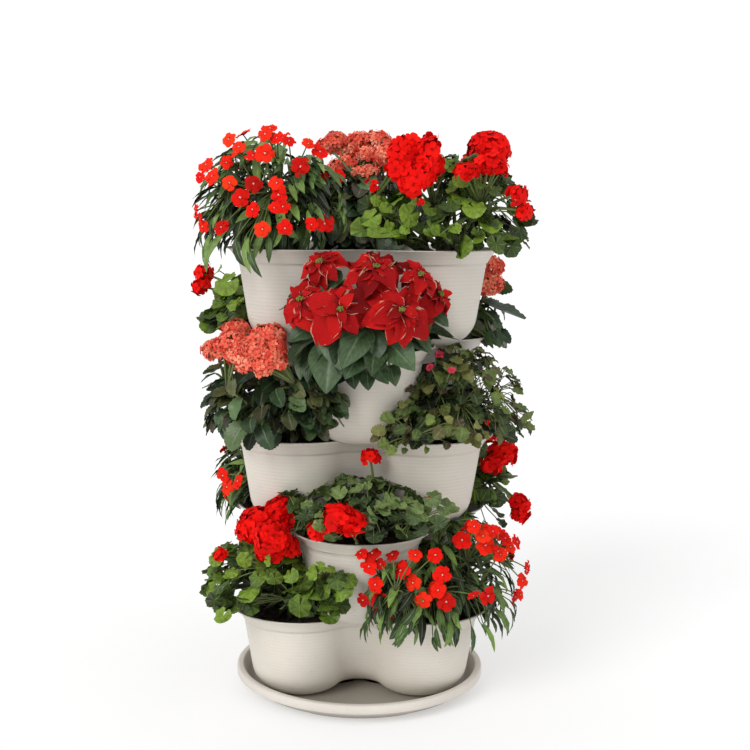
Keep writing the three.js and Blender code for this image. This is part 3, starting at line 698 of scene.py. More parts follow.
def edge_rows(radius, floor, wall, steps=10):
    """The rounded edge round a base: heights and offsets from the flat floor to the upright wall."""
    turn = np.linspace(0, math.pi / 2, steps)
    return floor + radius * (1 - np.cos(turn)), wall - radius * (1 - np.sin(turn))


def seat_height(points, turn):
    """Height over the upper pot's base of its rounded underside at level places, by how far each place
    lies outside the flat of that base."""
    azimuth, radius = polar(points)
    past = np.clip(radius - outline_reach(azimuth, 0.012, -BASE_EDGE, turn), 0, BASE_EDGE)
    return np.where(past < BASE_EDGE * 0.999, BASE_EDGE - np.sqrt(BASE_EDGE ** 2 - past ** 2), 1.0)


def pot_parts(tier):
    """One pot as a closed body of outline rings: flat underside, rounded edge, drafted wall, crisp collar,
    lip that flares out in a soft bend to a rounded rim, then the same profile inside, one wall in. The
    rim is pressed down where the pot above sits on it."""
    outer_z, outer_o = edge_rows(BASE_EDGE, 0, 0)
    inner_z, inner_o = edge_rows(BASE_EDGE - POT_FLOOR, POT_FLOOR, -POT_WALL)
    wall = np.linspace(outer_z[-1], COLLAR, 16)[1:]
    share = np.linspace(0, 1, 14)
    half = POT_WALL / 2
    lip_z = COLLAR + LIP_HEIGHT * share
    lip_z[-1] -= half
    lip_o = LIP_STEP + (LIP_FLARE - LIP_STEP) * (0.55 * share + 0.45 * share ** 2.2)
    bead = np.linspace(0, math.pi, 9)[1:-1]
    flat = [-0.05, -0.042, -0.034]
    heights = np.concatenate([
        [0, 0, 0], outer_z, wall, [COLLAR + 0.0002], lip_z[1:], RIM - half + half * np.sin(bead),
        lip_z[:0:-1], [COLLAR + 0.001], wall[::-1], inner_z[::-1], [POT_FLOOR] * 3])
    offsets = np.concatenate([
        flat, outer_o, wall * 0, [LIP_STEP], lip_o[1:], LIP_FLARE - half + half * np.cos(bead),
        lip_o[:0:-1] - POT_WALL, [-POT_WALL + 0.0004], wall * 0 - POT_WALL, inner_o[::-1], flat[::-1]])
    rings = outline_rings(heights, offsets, tier_turn(tier))
    if tier < TIERS:
        press = seat_height(rings, tier_turn(tier + 1)) + PITCH - SEAT_GAP
        pressed = np.minimum(rings[..., 2], np.maximum(press, PRESSED_RIM))
        rings[..., 2] = np.where(heights[:, None] > PITCH - 0.004, pressed, rings[..., 2])
    rings[..., 2] += base_height(tier)
    return [closed_rings(rings, base_height(tier), base_height(tier) + POT_FLOOR)]


def crumbs(rng, places, radius):
    """Small lumps of two poles and two five-sided rings, each point pushed in or out at random."""
    count = len(places)
    turn = np.linspace(0, 2 * math.pi, 5, endpoint=False)
    ring = np.stack([np.cos(turn), np.sin(turn), np.zeros(5)], -1) * 0.86
    shape = np.concatenate([[-UP], ring - UP * 0.45, ring + UP * 0.45, [UP]])
    size = radius * rng.uniform(0.35, 1, (count, 1, 1)) * rng.uniform(0.6, 1.3, (count, 12, 1))
    return places[:, None] + shape[None] * size * [1, 1, 0.7]


def mix_parts(tier, crumb):
    """The fill as a closed body inside the pot, its top heaped in low waves and strewn with crumbs."""
    rng = np.random.default_rng(100 + tier)
    inset, floor, base, turn = POT_WALL + MIX_GAP, POT_FLOOR + MIX_GAP, base_height(tier), tier_turn(tier)
    low_z, low_o = edge_rows(BASE_EDGE - floor, floor, -inset, 5)
    heights = np.concatenate([low_z, [COLLAR / 2, COLLAR, MIX_HEIGHT - 0.0015]])
    sides = outline_rings(heights, np.concatenate([low_o, [-inset] * 3]), turn, 32, 16)
    shares = np.linspace(0.98, 0.04, 24)[:, None, None]
    top = sides[-1:] * np.concatenate([shares, shares, np.ones_like(shares)], -1)
    x, y = top[..., 0] * 1000, top[..., 1] * 1000
    heap = (np.sin(x * 0.11 + tier) * np.cos(y * 0.09) + 0.6 * np.sin(x * 0.31 + y * 0.27)
            + 0.35 * np.sin(x * 0.83 - y * 0.6) * np.cos(y * 0.71) + rng.uniform(-0.5, 0.5, x.shape))
    top[..., 2] = MIX_HEIGHT - 0.0012 + 0.0008 * heap
    rings = np.concatenate([sides, top])
    rings[..., 2] += base
    azimuth = rng.uniform(-math.pi, math.pi, CRUMBS)
    limit = outline_reach(azimuth, COLLAR, -inset - crumb, turn)
    radius = limit * np.sqrt(rng.uniform(0.12, 1, CRUMBS))
    spots = raised(direction(azimuth) * radius[:, None], base + MIX_HEIGHT - 0.0008)
    return [closed_rings(rings, base + floor, base + MIX_HEIGHT - 0.001),
            part(crumbs(rng, spots, crumb), 2, 5, poles=BOTH, outward=True)]


def saucer_parts():
    """The dish as a profile turned round the axis, and foot pads as a rounded bar bent along arcs."""
    turn = np.linspace(0, math.pi / 2, 7)
    across, rise = SAUCER_WALL * np.cos(turn), SAUCER_WALL * np.sin(turn)
    outer_round = np.stack([SAUCER_RADIUS - SAUCER_WALL + across, SAUCER_HEIGHT - SAUCER_WALL + rise], -1)
    inner_round = np.stack([SAUCER_INNER + SAUCER_WALL - rise, SAUCER_HEIGHT - SAUCER_WALL + across], -1)
    bend = np.linspace(0, 1, 10)
    curve = np.stack([SAUCER_BEND + (SAUCER_FLOOR - SAUCER_BEND) * bend,
                      SAUCER_SIDE + (SAUCER_FLOOR_TOP - SAUCER_SIDE) * np.sin(bend * math.pi / 2)], -1)
    under_rim, band = SAUCER_HEIGHT - SAUCER_WALL, SAUCER_HEIGHT - SAUCER_BAND
    inner, outer = SAUCER_INNER + SAUCER_WALL, SAUCER_RADIUS - SAUCER_WALL
    flat = np.array([0.03, 0.08, 0.118])
    profile = np.concatenate([
        raised(flat[:, None], FOOT_HEIGHT), curve[::-1] + [0.0028, -0.003],
        [[inner - NICK, under_rim - 0.001], [inner + 0.001, under_rim], [outer, under_rim],
         [outer, band + NICK], [outer + NICK, band], [SAUCER_RADIUS - 0.0008, band],
         [SAUCER_RADIUS, band + 0.0008]],
        outer_round, inner_round, curve, raised(flat[::-1, None], SAUCER_FLOOR_TOP)])
    around = direction(np.linspace(0, 2 * math.pi, SAUCER_STEPS, endpoint=False))
    rings = raised(profile[:, None, :1] * around[None], profile[:, None, 1])
    middle, half = (FOOT_OUTER + FOOT_INNER) / 2, (FOOT_OUTER - FOOT_INNER) / 2
    high = (FOOT_HEIGHT + 0.001) / 2
    corner = np.linspace(0, 2 * math.pi, 24, endpoint=False) + math.pi / 24
    circle = np.stack([np.cos(corner), np.sin(corner)], -1)
    squared = np.sign(circle) * np.abs(circle) ** 0.35
    centre = np.array([middle, high])
    section = squared * [half, high] / np.abs(squared).max(0) + centre
    pitch = 2 * math.pi / FEET
    sweep = np.linspace(-pitch / 2 + FOOT_GAP / 2, pitch / 2 - FOOT_GAP / 2, 30)
    angle = sweep[None] + np.arange(FEET)[:, None] * pitch
    shrink = np.ones(30)
    shrink[[0, -1]], shrink[[1, -2]] = 0.8, 0.96
    local = centre + (section - centre)[None] * shrink[:, None, None]
    local[..., 1] = np.where(section[None, :, 1] < 0.001, section[None, :, 1], local[..., 1])
    pads = raised(local[None, ..., :1] * direction(angle)[:, :, None], local[None, ..., 1])
    caps = raised(middle * direction(angle[:, [0, -1]]), high)
    blocks = np.concatenate([caps[:, :1], pads.reshape(FEET, -1, 3), caps[:, 1:]], 1)
    return [closed_rings(rings, FOOT_HEIGHT, SAUCER_FLOOR_TOP),
            part(blocks, 30, 24, poles=BOTH, outward=True)]


# ---------------------------------------------------------------- plants

class Plant:
    """One plant's place in the tower and its seeded random numbers."""

    def __init__(self, index):
        self.kind, self.place, self.tier, azimuth, self.height, self.spread = PLANTS[index]
        self.name = NAMES[index]
        self.azimuth = math.radians(azimuth)
        self.rng = np.random.default_rng(1000 + index)
        self.out = np.array([*direction(self.azimuth), 0.0])
        self.side = np.array([math.cos(self.azimuth), math.sin(self.azimuth), 0.0])
        self.base = base_height(self.tier)
        self.rim = self.base + RIM
        self.middle = REACH - self.spread
        self.floor = self.base + MIX_HEIGHT
        self.share = bpy.context.scene.planter.leaf_share
        self.skirt = SKIRTS.get(self.name)
        below = {p[3] % 360: p[4] for p in PLANTS if p[2] == self.tier - 1}
        self.crowded = [self.rim - PITCH + below.get((azimuth + turn) % 360, -1.0) for turn in (-60, 60)]

    def at(self, out, side, up):
        """A place in the plant's own directions, with heights from the rim."""
        out, side, up = (np.asarray(v, float)[..., None] for v in (out, side, up))
        return self.out * out + self.side * side + UP * (up + self.rim)

    def phases(self, count):
        """Random phases of waves."""
        return self.rng.uniform(0, 6.28, count)

    def tints(self, count, middle, spread, more=0):
        """Random tints from 0 to 1, moved by more."""
        return np.clip(self.rng.normal(middle, spread, count) + more, 0, 1)

    def settle(self, points, margin):
        """Move points clear of the pots and of the plants of the tiers above and below, whose lobes look 60
        degrees to each side. There, heights level off over the plants below and under the pot above. All
        points turn back to the plant's share of the tower, go outwards past the pots above, and inside or
        outside the plant's own lip; margin is the room kept."""
        z = points[..., 2].copy()
        azimuth, radius = polar(points)
        radius = np.maximum(radius, 0.02)
        room = margin / 2
        swing = np.mod(azimuth - self.azimuth + math.pi, 2 * math.pi) - math.pi
        across, reach = (self.skirt[1], self.skirt[5]) if self.skirt else (0, SWING)
        limit = np.radians(np.where(swing * across > 0, reach, SWING)) - np.minimum(margin / radius, 0.3)
        knee = KNEE * limit
        turned = np.where(np.abs(swing) < knee, np.abs(swing),
                          knee + (limit - knee) * np.tanh((np.abs(swing) - knee) / (limit - knee)))
        azimuth = self.azimuth + np.sign(swing) * turned
        shared = np.clip((turned - SHARED_FROM) / SHARED_OVER, 0, 1)
        low = np.maximum(np.where(swing < 0, *self.crowded), self.rim - HANG)
        own = self.rim + (0.004 if self.place == "front" and self.tier == 2 else -HANG)
        low = own * (1 - shared) + np.maximum(low, own) * shared
        low = np.where(radius < INSIDE, np.maximum(low, self.floor + TOUCH + room), low) + room
        soft = np.where(radius < INSIDE, TOUCH, EASE)
        z = np.where(z < low + soft, low + soft * np.exp(np.minimum(z - low - soft, 0) / soft), z)
        if self.tier < TIERS:
            before = np.clip((radius - POTS_ABOVE_FRONT) / 0.006, 0, 1)
            high = self.rim + PITCH - EASE + 0.018 * before + 0.2 * (1 - shared) - margin
            under = high - EASE
            z = np.where(z > under, high - EASE * np.exp(np.minimum(under - z, 0) / EASE), z)
        for tier in range(self.tier + 1, min(self.tier + 2, TIERS) + 1):
            up = z - base_height(tier)
            edge = np.sqrt(np.maximum(BASE_EDGE ** 2 - (BASE_EDGE - np.clip(up, 0, BASE_EDGE)) ** 2, 0))
            offset = np.where(up > COLLAR - 0.008 - margin, LIP_FLARE, edge - BASE_EDGE)
            wall = outline_reach(azimuth, np.maximum(up, 0), offset, tier_turn(tier)) + margin + AIR
            radius = np.where((up > -0.002 - margin) & (radius < wall), wall, radius)
        up = z - self.base
        share = np.clip((up - COLLAR) / LIP_HEIGHT, 0, 1)
        turn, wall = tier_turn(self.tier), np.minimum(up, COLLAR)
        inner = outline_reach(azimuth, wall, LIP_FLARE * share - POT_WALL, turn) - TOUCH - room
        outer = outline_reach(azimuth, wall, LIP_FLARE, turn) + TOUCH + room
        near = (radius > inner) & (radius < outer) & (z < self.rim + AIR + room)
        top = near & (z > self.rim - 0.007)
        z = np.where(top, self.rim + AIR + room, z)
        radius = np.where(near & ~top, np.where(radius > (inner + outer) / 2, outer, inner), radius)
        radius = np.minimum(radius, REACH + 0.004)
        settled = raised(direction(azimuth) * radius[..., None], z)
        return self.over_lip(settled, margin) if settled.ndim == 3 else settled

    def over_lip(self, points, margin):
        """Blades and stems, one to a row of points, with points inside and outside the plant's own pot
        below its rim: their points from the inside to the lip come up onto the lip, so that none passes
        through the wall."""
        azimuth, radius = polar(points)
        up = points[..., 2] - self.base
        share = np.clip((up - COLLAR) / LIP_HEIGHT, 0, 1)
        turn = tier_turn(self.tier)
        wall = outline_reach(azimuth, np.clip(up, 0, COLLAR), LIP_FLARE * share - POT_WALL / 2, turn)
        low = up < RIM
        across = np.any(low & (radius < wall), -1) & np.any(low & (radius >= wall), -1)
        edge = outline_reach(azimuth, np.full_like(up, COLLAR), LIP_FLARE, turn)
        lifted = np.maximum(points[..., 2], self.rim + AIR + margin / 2)
        points[..., 2] = np.where(across[..., None] & (radius < edge + TOUCH), lifted, points[..., 2])
        return points


def axes(heading, face):
    """Unit vectors ahead, to the side and up of blades that head one way and face another."""
    ahead = unit(heading)
    side = unit(np.cross(ahead, face))
    return ahead, side, np.cross(side, ahead)


def along_axes(start, directions, lengths):
    """Points reached from starts by lengths along directions, a grid of them from each start."""
    steps = (axis[:, None, None] * length[..., None] for axis, length in zip(directions, lengths))
    return start[:, None, None] + sum(steps)


def blades(root, heading, face, length, width, profile, cols, bend, fold, ruffle, waves, phase, tint):
    """Leaf, petal or bract sheets. Each is a strip along a circular arc from its root that turns by bend
    radians towards its underside; its half width at each step is width times the profile; its sides rise
    by fold times the half width, and its margin waves by ruffle."""
    count, rows = len(root), len(profile)
    length, width, bend, phase, tint = (
        np.broadcast_to(column(v), (count, 1, 1)) for v in (length, width, bend, phase, tint))
    bend = np.where(np.abs(bend) < 1e-3, 1e-3, bend)
    t = np.linspace(0, 1, rows)[None, :, None]
    w = np.linspace(-1, 1, cols)[None, None]
    ahead, side, up = axes(heading, face)
    turn = bend * t
    half = width * np.asarray(profile)[None, :, None]
    rise = (fold * np.abs(w) * half
            + ruffle * half * w * w * np.sin(2 * math.pi * waves * t + phase + 2 * np.sign(w)))
    run = length * np.sin(turn) / bend + rise * np.sin(turn)
    drop = -length * (1 - np.cos(turn)) / bend + rise * np.cos(turn)
    points = along_axes(root, (ahead, side, up), (run, half * w, drop))
    marks = np.stack(np.broadcast_arrays(w + 0 * half, t + 0 * half * w, tint + 0 * half * w), -1)
    return points.reshape(count, -1, 3), marks.reshape(count, -1, 3)


def round_leaves(centre, heading, face, radius, tint, cup, phase):
    """Geranium leaves: a round blade about the stalk's joint, open at a narrow notch behind it. The margin
    is seven shallow lobes, each with three small scallops; the blade is cupped, pleated along its lobes
    and gently warped."""
    count = len(centre)
    turn = np.linspace(-1, 1, 43)[None, None] * (math.pi - 0.16)
    rho = np.array([0.34, 0.68, 1.0])[None, :, None]
    radius, tint, cup, phase = map(column, (radius, tint, cup, phase))
    lobed = 1 + 0.052 * np.cos(7 * turn) + 0.03 * np.cos(21 * turn) - 0.1 * (turn / math.pi) ** 4
    reach = radius * rho * (1 + (lobed - 1) * rho ** 2)
    rise = radius * (cup * rho ** 2 + 0.07 * rho ** 1.5 * np.cos(7 * turn)
                     + 0.16 * rho ** 2 * np.cos(2 * turn + phase))
    ring = along_axes(centre, axes(heading, face), (reach * np.cos(turn), reach * np.sin(turn), rise))
    points = np.concatenate([centre[:, None], ring.reshape(count, -1, 3)], 1)
    marks = np.stack(np.broadcast_arrays(turn / math.pi + 0 * reach, rho + 0 * reach, tint + 0 * reach), -1)
    hub = np.concatenate([np.zeros((count, 1, 2)), tint], -1)
    return points, np.concatenate([hub, marks.reshape(count, -1, 3)], 1)


def tubes(paths, thick, thin, sides=5):
    """Round stems along paths (count, steps, 3), tapering from thick to thin, closed by a point at each
    end."""
    count, steps = paths.shape[:2]
    ahead = unit(np.gradient(paths, axis=1))
    side = unit(np.cross(ahead, np.array([0.31, 0.17, 0.93])))
    up = np.cross(ahead, side)
    t = np.linspace(0, 1, steps)[None, :, None, None]
    turn = np.linspace(0, 2 * math.pi, sides, endpoint=False)[:, None]
    round_path = side[:, :, None] * np.cos(turn) + up[:, :, None] * np.sin(turn)
    ring = paths[:, :, None] + (thick * (1 - t) + thin * t) * round_path
    points = np.concatenate([paths[:, :1], ring.reshape(count, -1, 3), paths[:, -1:]], 1)
    along = np.broadcast_to(t, (count, steps, sides, 1)).reshape(count, -1)
    along = np.concatenate([along[:, :1], along, along[:, -1:]], 1)
    return points, np.stack([np.zeros_like(along), along, np.full_like(along, 0.5)], -1)


def bezier(a, b, c, steps):
    """Paths from a to c that lean towards b."""
    t = np.linspace(0, 1, steps)[None, :, None]
    return a[:, None] * (1 - t) ** 2 + 2 * b[:, None] * t * (1 - t) + c[:, None] * t ** 2


def dome(rng, count, centre, radius, squash, low, axis):
    """Places and directions over a dome: golden-angle steps from its top down to a low limit."""
    z = 1 - (1 - low) * (np.arange(count) + 0.5) / count
    turn = np.arange(count) * GOLDEN + rng.uniform(0, 6)
    level = np.sqrt(1 - z ** 2)
    ball = np.stack([level * np.cos(turn), level * np.sin(turn), z], -1)
    helper = unit(np.cross(axis, [0.2, 0.9, 0.1]))
    facing = ball[:, :1] * helper + ball[:, 1:2] * np.cross(axis, helper) + ball[:, 2:] * axis
    return centre + facing * [radius, radius, radius * squash], facing


def florets(plant, centre, facing, radius, tint):
    """Petals of the plant's kind set evenly round flower centres, each petal tipped up by its lift."""
    rng, count = plant.rng, len(centre)
    petals, profile, cols, width, lift, bend, fold, ruffle = FLORETS[plant.kind]
    many = count * petals
    helper = unit(np.cross(facing, np.array([0.3, 0.2, 0.93])))
    other = np.cross(facing, helper)
    start = rng.uniform(0, 2 * math.pi, (count, 1))
    even = np.arange(petals)[None] * 2 * math.pi / petals
    turn = start + even + rng.uniform(-0.12, 0.12, (count, petals))
    ray = helper[:, None] * np.cos(turn)[..., None] + other[:, None] * np.sin(turn)[..., None]
    up = np.broadcast_to(facing[:, None], ray.shape)
    tip = lift + rng.uniform(-0.18, 0.18, (count, petals, 1))
    heading = (ray * np.cos(tip) + up * np.sin(tip)).reshape(-1, 3)
    face = (up * np.cos(tip) - ray * np.sin(tip)).reshape(-1, 3)
    size = np.repeat(np.broadcast_to(radius, (count,)), petals) * rng.uniform(0.9, 1.08, many)
    root = np.repeat(centre, petals, 0) + face * (rng.uniform(-0.03, 0.03, (many, 1)) * size[:, None])
    return blades(root, heading, face, size, size * width, profile, cols,
                  bend + rng.uniform(-0.15, 0.15, many), fold, ruffle, 1.4, plant.phases(many),
                  np.repeat(tint, petals))


def sheet_part(plant, sheets, rows, cols, room):
    """One part from lists of like blades, settled clear of the pots."""
    points, marks = (np.concatenate(kind) for kind in zip(*sheets))
    return part(plant.settle(points, room), rows, cols, wrap=False, marks=marks)


def bloom_part(plant, sheets, room=0.001):
    """One part from lists of the plant's florets."""
    return sheet_part(plant, sheets, len(FLORETS[plant.kind][1]), FLORETS[plant.kind][2], room)


def canopy(plant, count, size, low, hollow, centre_up, flat=1.0):
    """Leaf places over and within the plant's mound and its skirt, each with the outward direction there
    and with its depth: 1 at the surface and less inside."""
    rng = plant.rng
    turn = rng.uniform(0, 2 * math.pi, count)
    z = 1 - (1 - low) * rng.uniform(0, 1, count) ** flat
    level = np.sqrt(1 - z ** 2)
    depth = 1 - hollow * rng.uniform(0, 1, count) ** 2.2
    room = plant.spread - size * 0.35
    out = plant.middle + level * np.cos(turn) * room * depth
    side = level * np.sin(turn) * room * depth
    up = centre_up + z * (plant.height - centre_up - size * 0.6) * depth
    if plant.skirt:
        far, across, high, reach, share, _ = plant.skirt
        on = rng.uniform(0, 1, count) < share
        ball = (reach / 1000 - size * 0.3) * depth
        out = np.where(on, far / 1000 + level * np.cos(turn) * ball, out)
        side = np.where(on, across / 1000 + level * np.sin(turn) * ball, side)
        up = np.where(on, np.maximum(high / 1000 + (z * 2 - 1) * ball, -0.012), up)
    facing = unit(plant.out * (level * np.cos(turn))[:, None] + plant.side * (level * np.sin(turn))[:, None]
                  + UP * (0.75 + 0.6 * np.maximum(z, 0))[:, None])
    facing = unit(facing + rng.normal(0, 0.28, facing.shape))
    places = plant.at(out, side, up)
    limit = EDGES.get(plant.name, REACH)
    places[:, :2] *= np.minimum(1, limit / np.hypot(places[:, 0], places[:, 1]))[:, None]
    return places, facing, depth


def shown(plant, places, facing, depth, size, scale=1.0):
    """The canopy's places, directions, depths and sizes, with the leaves that the photograph shows."""
    rows = np.array(SHOWN.get(plant.name, np.zeros((0, 4)))) / 1000
    more = plant.at(rows[:, 0], rows[:, 1], rows[:, 2])
    turned = unit(unit(more * [1, 1, 0]) * 0.8 + [0, -0.25, 0.5] + plant.rng.normal(0, 0.14, more.shape))
    return (np.concatenate([places, more]), np.concatenate([facing, turned]),
            np.concatenate([depth, np.full(len(rows), 1.05)]), np.concatenate([size, rows[:, 3] * scale]))


def level_ahead(plant, places, facing, droop):
    """A heading for each blade: away from the plant's root, tipped down by droop."""
    away = places - plant.at(ROOT_OFFSET, 0, 0)
    away[:, 2] = 0
    away = unit(away + plant.rng.normal(0, 0.012, away.shape))
    heading = away - UP * droop.reshape(-1, 1)
    return unit(heading - facing * np.sum(heading * facing, -1, keepdims=True) * 0.7)


def stems_along(plant, foot, middle, tips, thick, thin, steps, margin):
    """Stems bent from foot to tip and settled between their ends: their part and their paths."""
    path = bezier(foot, middle, tips, steps)
    path[:, 1:-1] = plant.settle(path[:, 1:-1], margin)
    path[:, 1:-1] = plant.over_lip(path.copy(), margin)[:, 1:-1]
    points, marks = tubes(path, thick, thin)
    return part(points, steps, 5, poles=BOTH, marks=marks, look=1), path


def stalks(plant, nodes, tips, thick, thin, steps=7):
    """Stalks to the tips, each from the nearest node of the main stems."""
    away = np.linalg.norm(nodes[None] - (tips - [0, 0, 0.014])[:, None], axis=-1)
    foot = nodes[np.argmin(away, 1)]
    return stems_along(plant, foot, (foot + tips) / 2 + [0, 0, 0.005], tips, thick, thin, steps, 0.002)[0]


def main_stems(plant, places, count, thick, thin, high=0.6):
    """Main stems that fan out from the potting mix through the plant, each to the leaf joint nearest to
    its place in the fan: their part, and the nodes along their upper halves where stalks leave them."""
    rng = plant.rng
    turn = np.arange(count) * GOLDEN + rng.uniform(0, 6)
    far = plant.spread * 0.8 * np.sqrt((np.arange(count) + 0.5) / count)
    rise = plant.height * high * (1.1 - 0.6 * far / plant.spread) * rng.uniform(0.75, 1.1, count)
    tips = plant.at(plant.middle - 0.012 + far * np.cos(turn), far * np.sin(turn), rise)
    if plant.skirt:
        out, side, up, reach = (v / 1000 for v in plant.skirt[:4])
        wide = zip((out, side, up), (0.5, 0.5, 0.4))
        more = [middle + reach * rng.uniform(-far, far, 5) for middle, far in wide]
        tips = np.concatenate([tips, plant.at(*more)])
    tips = places[np.argmin(np.linalg.norm(places[None] - tips[:, None], axis=-1), 1)] - [0, 0, 0.003]
    turn, far = rng.uniform(0, 2 * math.pi, len(tips)), ROOT_SPREAD * np.sqrt(rng.uniform(0, 1, len(tips)))
    foot = plant.at(ROOT_OFFSET + far * np.cos(turn), far * np.sin(turn), plant.floor - plant.rim + 0.0004)
    middle = foot * 0.6 + tips * 0.4
    middle[:, 2] = np.maximum(foot[:, 2] * 0.3 + tips[:, 2] * 0.7, plant.rim + 0.008)
    stems, path = stems_along(plant, foot, middle, tips, thick, thin, 9, 0.004)
    return stems, path[:, 4:].reshape(-1, 3)


class Leaves:
    """The blades of one plant: where each joins the plant and starts, how it heads and faces, its length
    and its depth. Those less than below over the rim are low, and hang down by hang more."""

    def __init__(self, plant, many, size, lengths, margin, droop, back, rise=1.0, below=0.0, hang=0.0,
                 **mound):
        count = int(many * plant.share)
        places, facing, depth = canopy(plant, count, size, **mound)
        places[:, 2] = plant.rim + (places[:, 2] - plant.rim) * rise
        length = plant.rng.uniform(*lengths, count)
        places, self.facing, self.depth, self.length = shown(plant, places, facing, depth, length)
        self.plant, self.count = plant, len(places)
        self.places = plant.settle(places, margin)
        self.low = self.places[:, 2] < plant.rim + below
        droop = plant.rng.uniform(*droop, self.count) + hang * self.low
        self.heading = level_ahead(plant, self.places, self.facing, droop)
        self.start = self.places - self.heading * self.length[:, None] * back

    def tints(self, middle, spread, more, unshaded_depth):
        """Random tints with painted shade: lighter towards the plant's surface and darker deep inside it.
        """
        return self.plant.tints(self.count, middle, spread, more * (self.depth - unshaded_depth))

    def grow(self, profile, cols, width, bend, fold, ruffle, waves, tint, room, trunk, stalk, gap=0.002,
             steps=7):
        """The parts of the blades, the main stems and the stalks, and the main stems' nodes."""
        plant, length = self.plant, self.length
        sheets = blades(self.start, self.heading, self.facing, length, length * width, profile, cols, bend,
                        fold, ruffle, waves, plant.phases(self.count), tint)
        leaves = sheet_part(plant, [sheets], len(profile), cols, room)
        stems, nodes = main_stems(plant, self.places, *trunk)
        side = stalks(plant, nodes, plant.settle(self.start, gap), *stalk, steps=steps)
        return [leaves, stems, side], nodes


def scalloped(steps, waves, deep):
    """The oval profile with scallops along its margin."""
    oval = np.interp(np.linspace(0, 1, steps), np.linspace(0, 1, 9), OVAL)
    return oval * (1 + deep * np.cos(np.linspace(0, waves * math.pi, steps)))


def geranium(plant, heads):
    """Zonal geranium: stout stems, round scalloped leaves on long stalks, and balls of five-petalled
    florets."""
    rng, front = plant.rng, plant.place == "front"
    count = int((300 if front else 200) * plant.share)
    size = rng.uniform(0.007, 0.0195, count) * (0.6 if front else 0.82)
    low = 0.04 if plant.place in ("left", "front") else -0.08
    places, facing, depth = canopy(plant, count, 0.02, low=low, hollow=0.6, centre_up=0.012)
    places[:, 2] = plant.rim + (places[:, 2] - plant.rim) * (0.80 if plant.tier == 1 else 0.84)
    if plant.tier == 1:
        bare = (places[:, 2] < plant.rim + 0.034) & (places[:, 1] < -0.06) & (places[:, 0] > -0.125)
        pull = plant.at(ROOT_OFFSET - 0.03, 0.03, 0.02) - places
        places = places + pull * np.where(bare, rng.uniform(0.35, 0.6, count), 0)[:, None]
    places, facing, depth, size = shown(plant, places, facing, depth, size, 0.5)
    count = len(places)
    places = plant.settle(places, 0.010)
    facing = unit(facing + rng.normal(0, 0.26, facing.shape))
    heading = level_ahead(plant, places, facing, rng.uniform(-0.1, 0.5, count))
    # painted light and shade in the tint: leaves higher up come out lighter, leaves deep in the canopy
    # darker
    more = 0.3 * (places[:, 2] - plant.rim) / plant.height + 1.7 * (depth - 0.93)
    points, marks = round_leaves(places, heading, facing, size, plant.tints(count, 0.46, 0.22, more),
                                 rng.uniform(-0.22, 0.12, count), plant.phases(count))
    leaves = part(plant.settle(points, 0.0015), 3, 43, wrap=False, poles=(True, False), marks=marks)
    stems, nodes = main_stems(plant, places, 12, 0.0034, 0.0012)
    flowers, centres = [], []
    for out, side, up, radius in heads:
        centre = plant.settle(plant.at(out, side, up), 0.004)
        many = max(6, int(52 * (radius / 0.025) ** 2))
        axis = unit(plant.out * 0.5 + UP + 0.25 * rng.normal(0, 1, 3))
        spots, outward = dome(rng, many, centre, radius * 0.74, 0.88, -0.62, axis)
        spots = spots + outward * rng.normal(0, 0.0018, (many, 1))
        outward = unit(outward + rng.normal(0, 0.24, outward.shape))
        tints = plant.tints(many, 0.5, 0.26)
        flowers.append(florets(plant, spots, outward, min(0.0092, radius * 0.6), tints))
        centres.append(centre)
    return [leaves, stems, stalks(plant, nodes, places - facing * 0.0004, 0.0010, 0.0006),
            stalks(plant, nodes, np.array(centres), 0.0018, 0.0013, 9)], [bloom_part(plant, flowers)]


def impatiens(plant, heads):
    """New Guinea impatiens: fleshy stems, whorls of long pointed leaves with light midribs that droop over
    the lip, and flat flowers of five broad overlapping petals with a small pale eye."""
    rng = plant.rng
    leaf = Leaves(plant, 600, 0.03, (0.018, 0.042), 0.006, (-0.35, 0.45), 0.45, below=0.035, hang=0.55,
                  low=-0.02 if plant.tier == TIERS else -0.22, hollow=0.6, centre_up=0.006)
    bend = rng.uniform(0.25, 1.0, leaf.count) + 0.55 * leaf.low
    tint = leaf.tints(0.5, 0.26, 1.9, 0.93)
    width = rng.uniform(0.10, 0.14, leaf.count)
    green, nodes = leaf.grow(LANCE, 5, width, bend, 0.35, 0.16, 3.0, tint, 0.0012,
                             (22, 0.0026, 0.0010, 0.7), (0.0010, 0.0006))
    centre = plant.settle(plant.at(*heads[:, :3].T), 0.006)
    outward = centre - plant.at(plant.middle - 0.03, 0, plant.height * 0.25)
    outward = unit(outward + rng.normal(0, 0.012, centre.shape))
    outward = unit(outward + rng.normal(0, 0.3, outward.shape) + [0, -0.25, 0.12])
    radius = heads[:, 3] * (0.88 if plant.tier == 1 else 0.94)
    flowers = florets(plant, centre, outward, radius, plant.tints(len(heads), 0.5, 0.28))
    green.append(stalks(plant, nodes, centre - outward * 0.001, 0.0010, 0.0007, 9))
    return green, [bloom_part(plant, [flowers])]


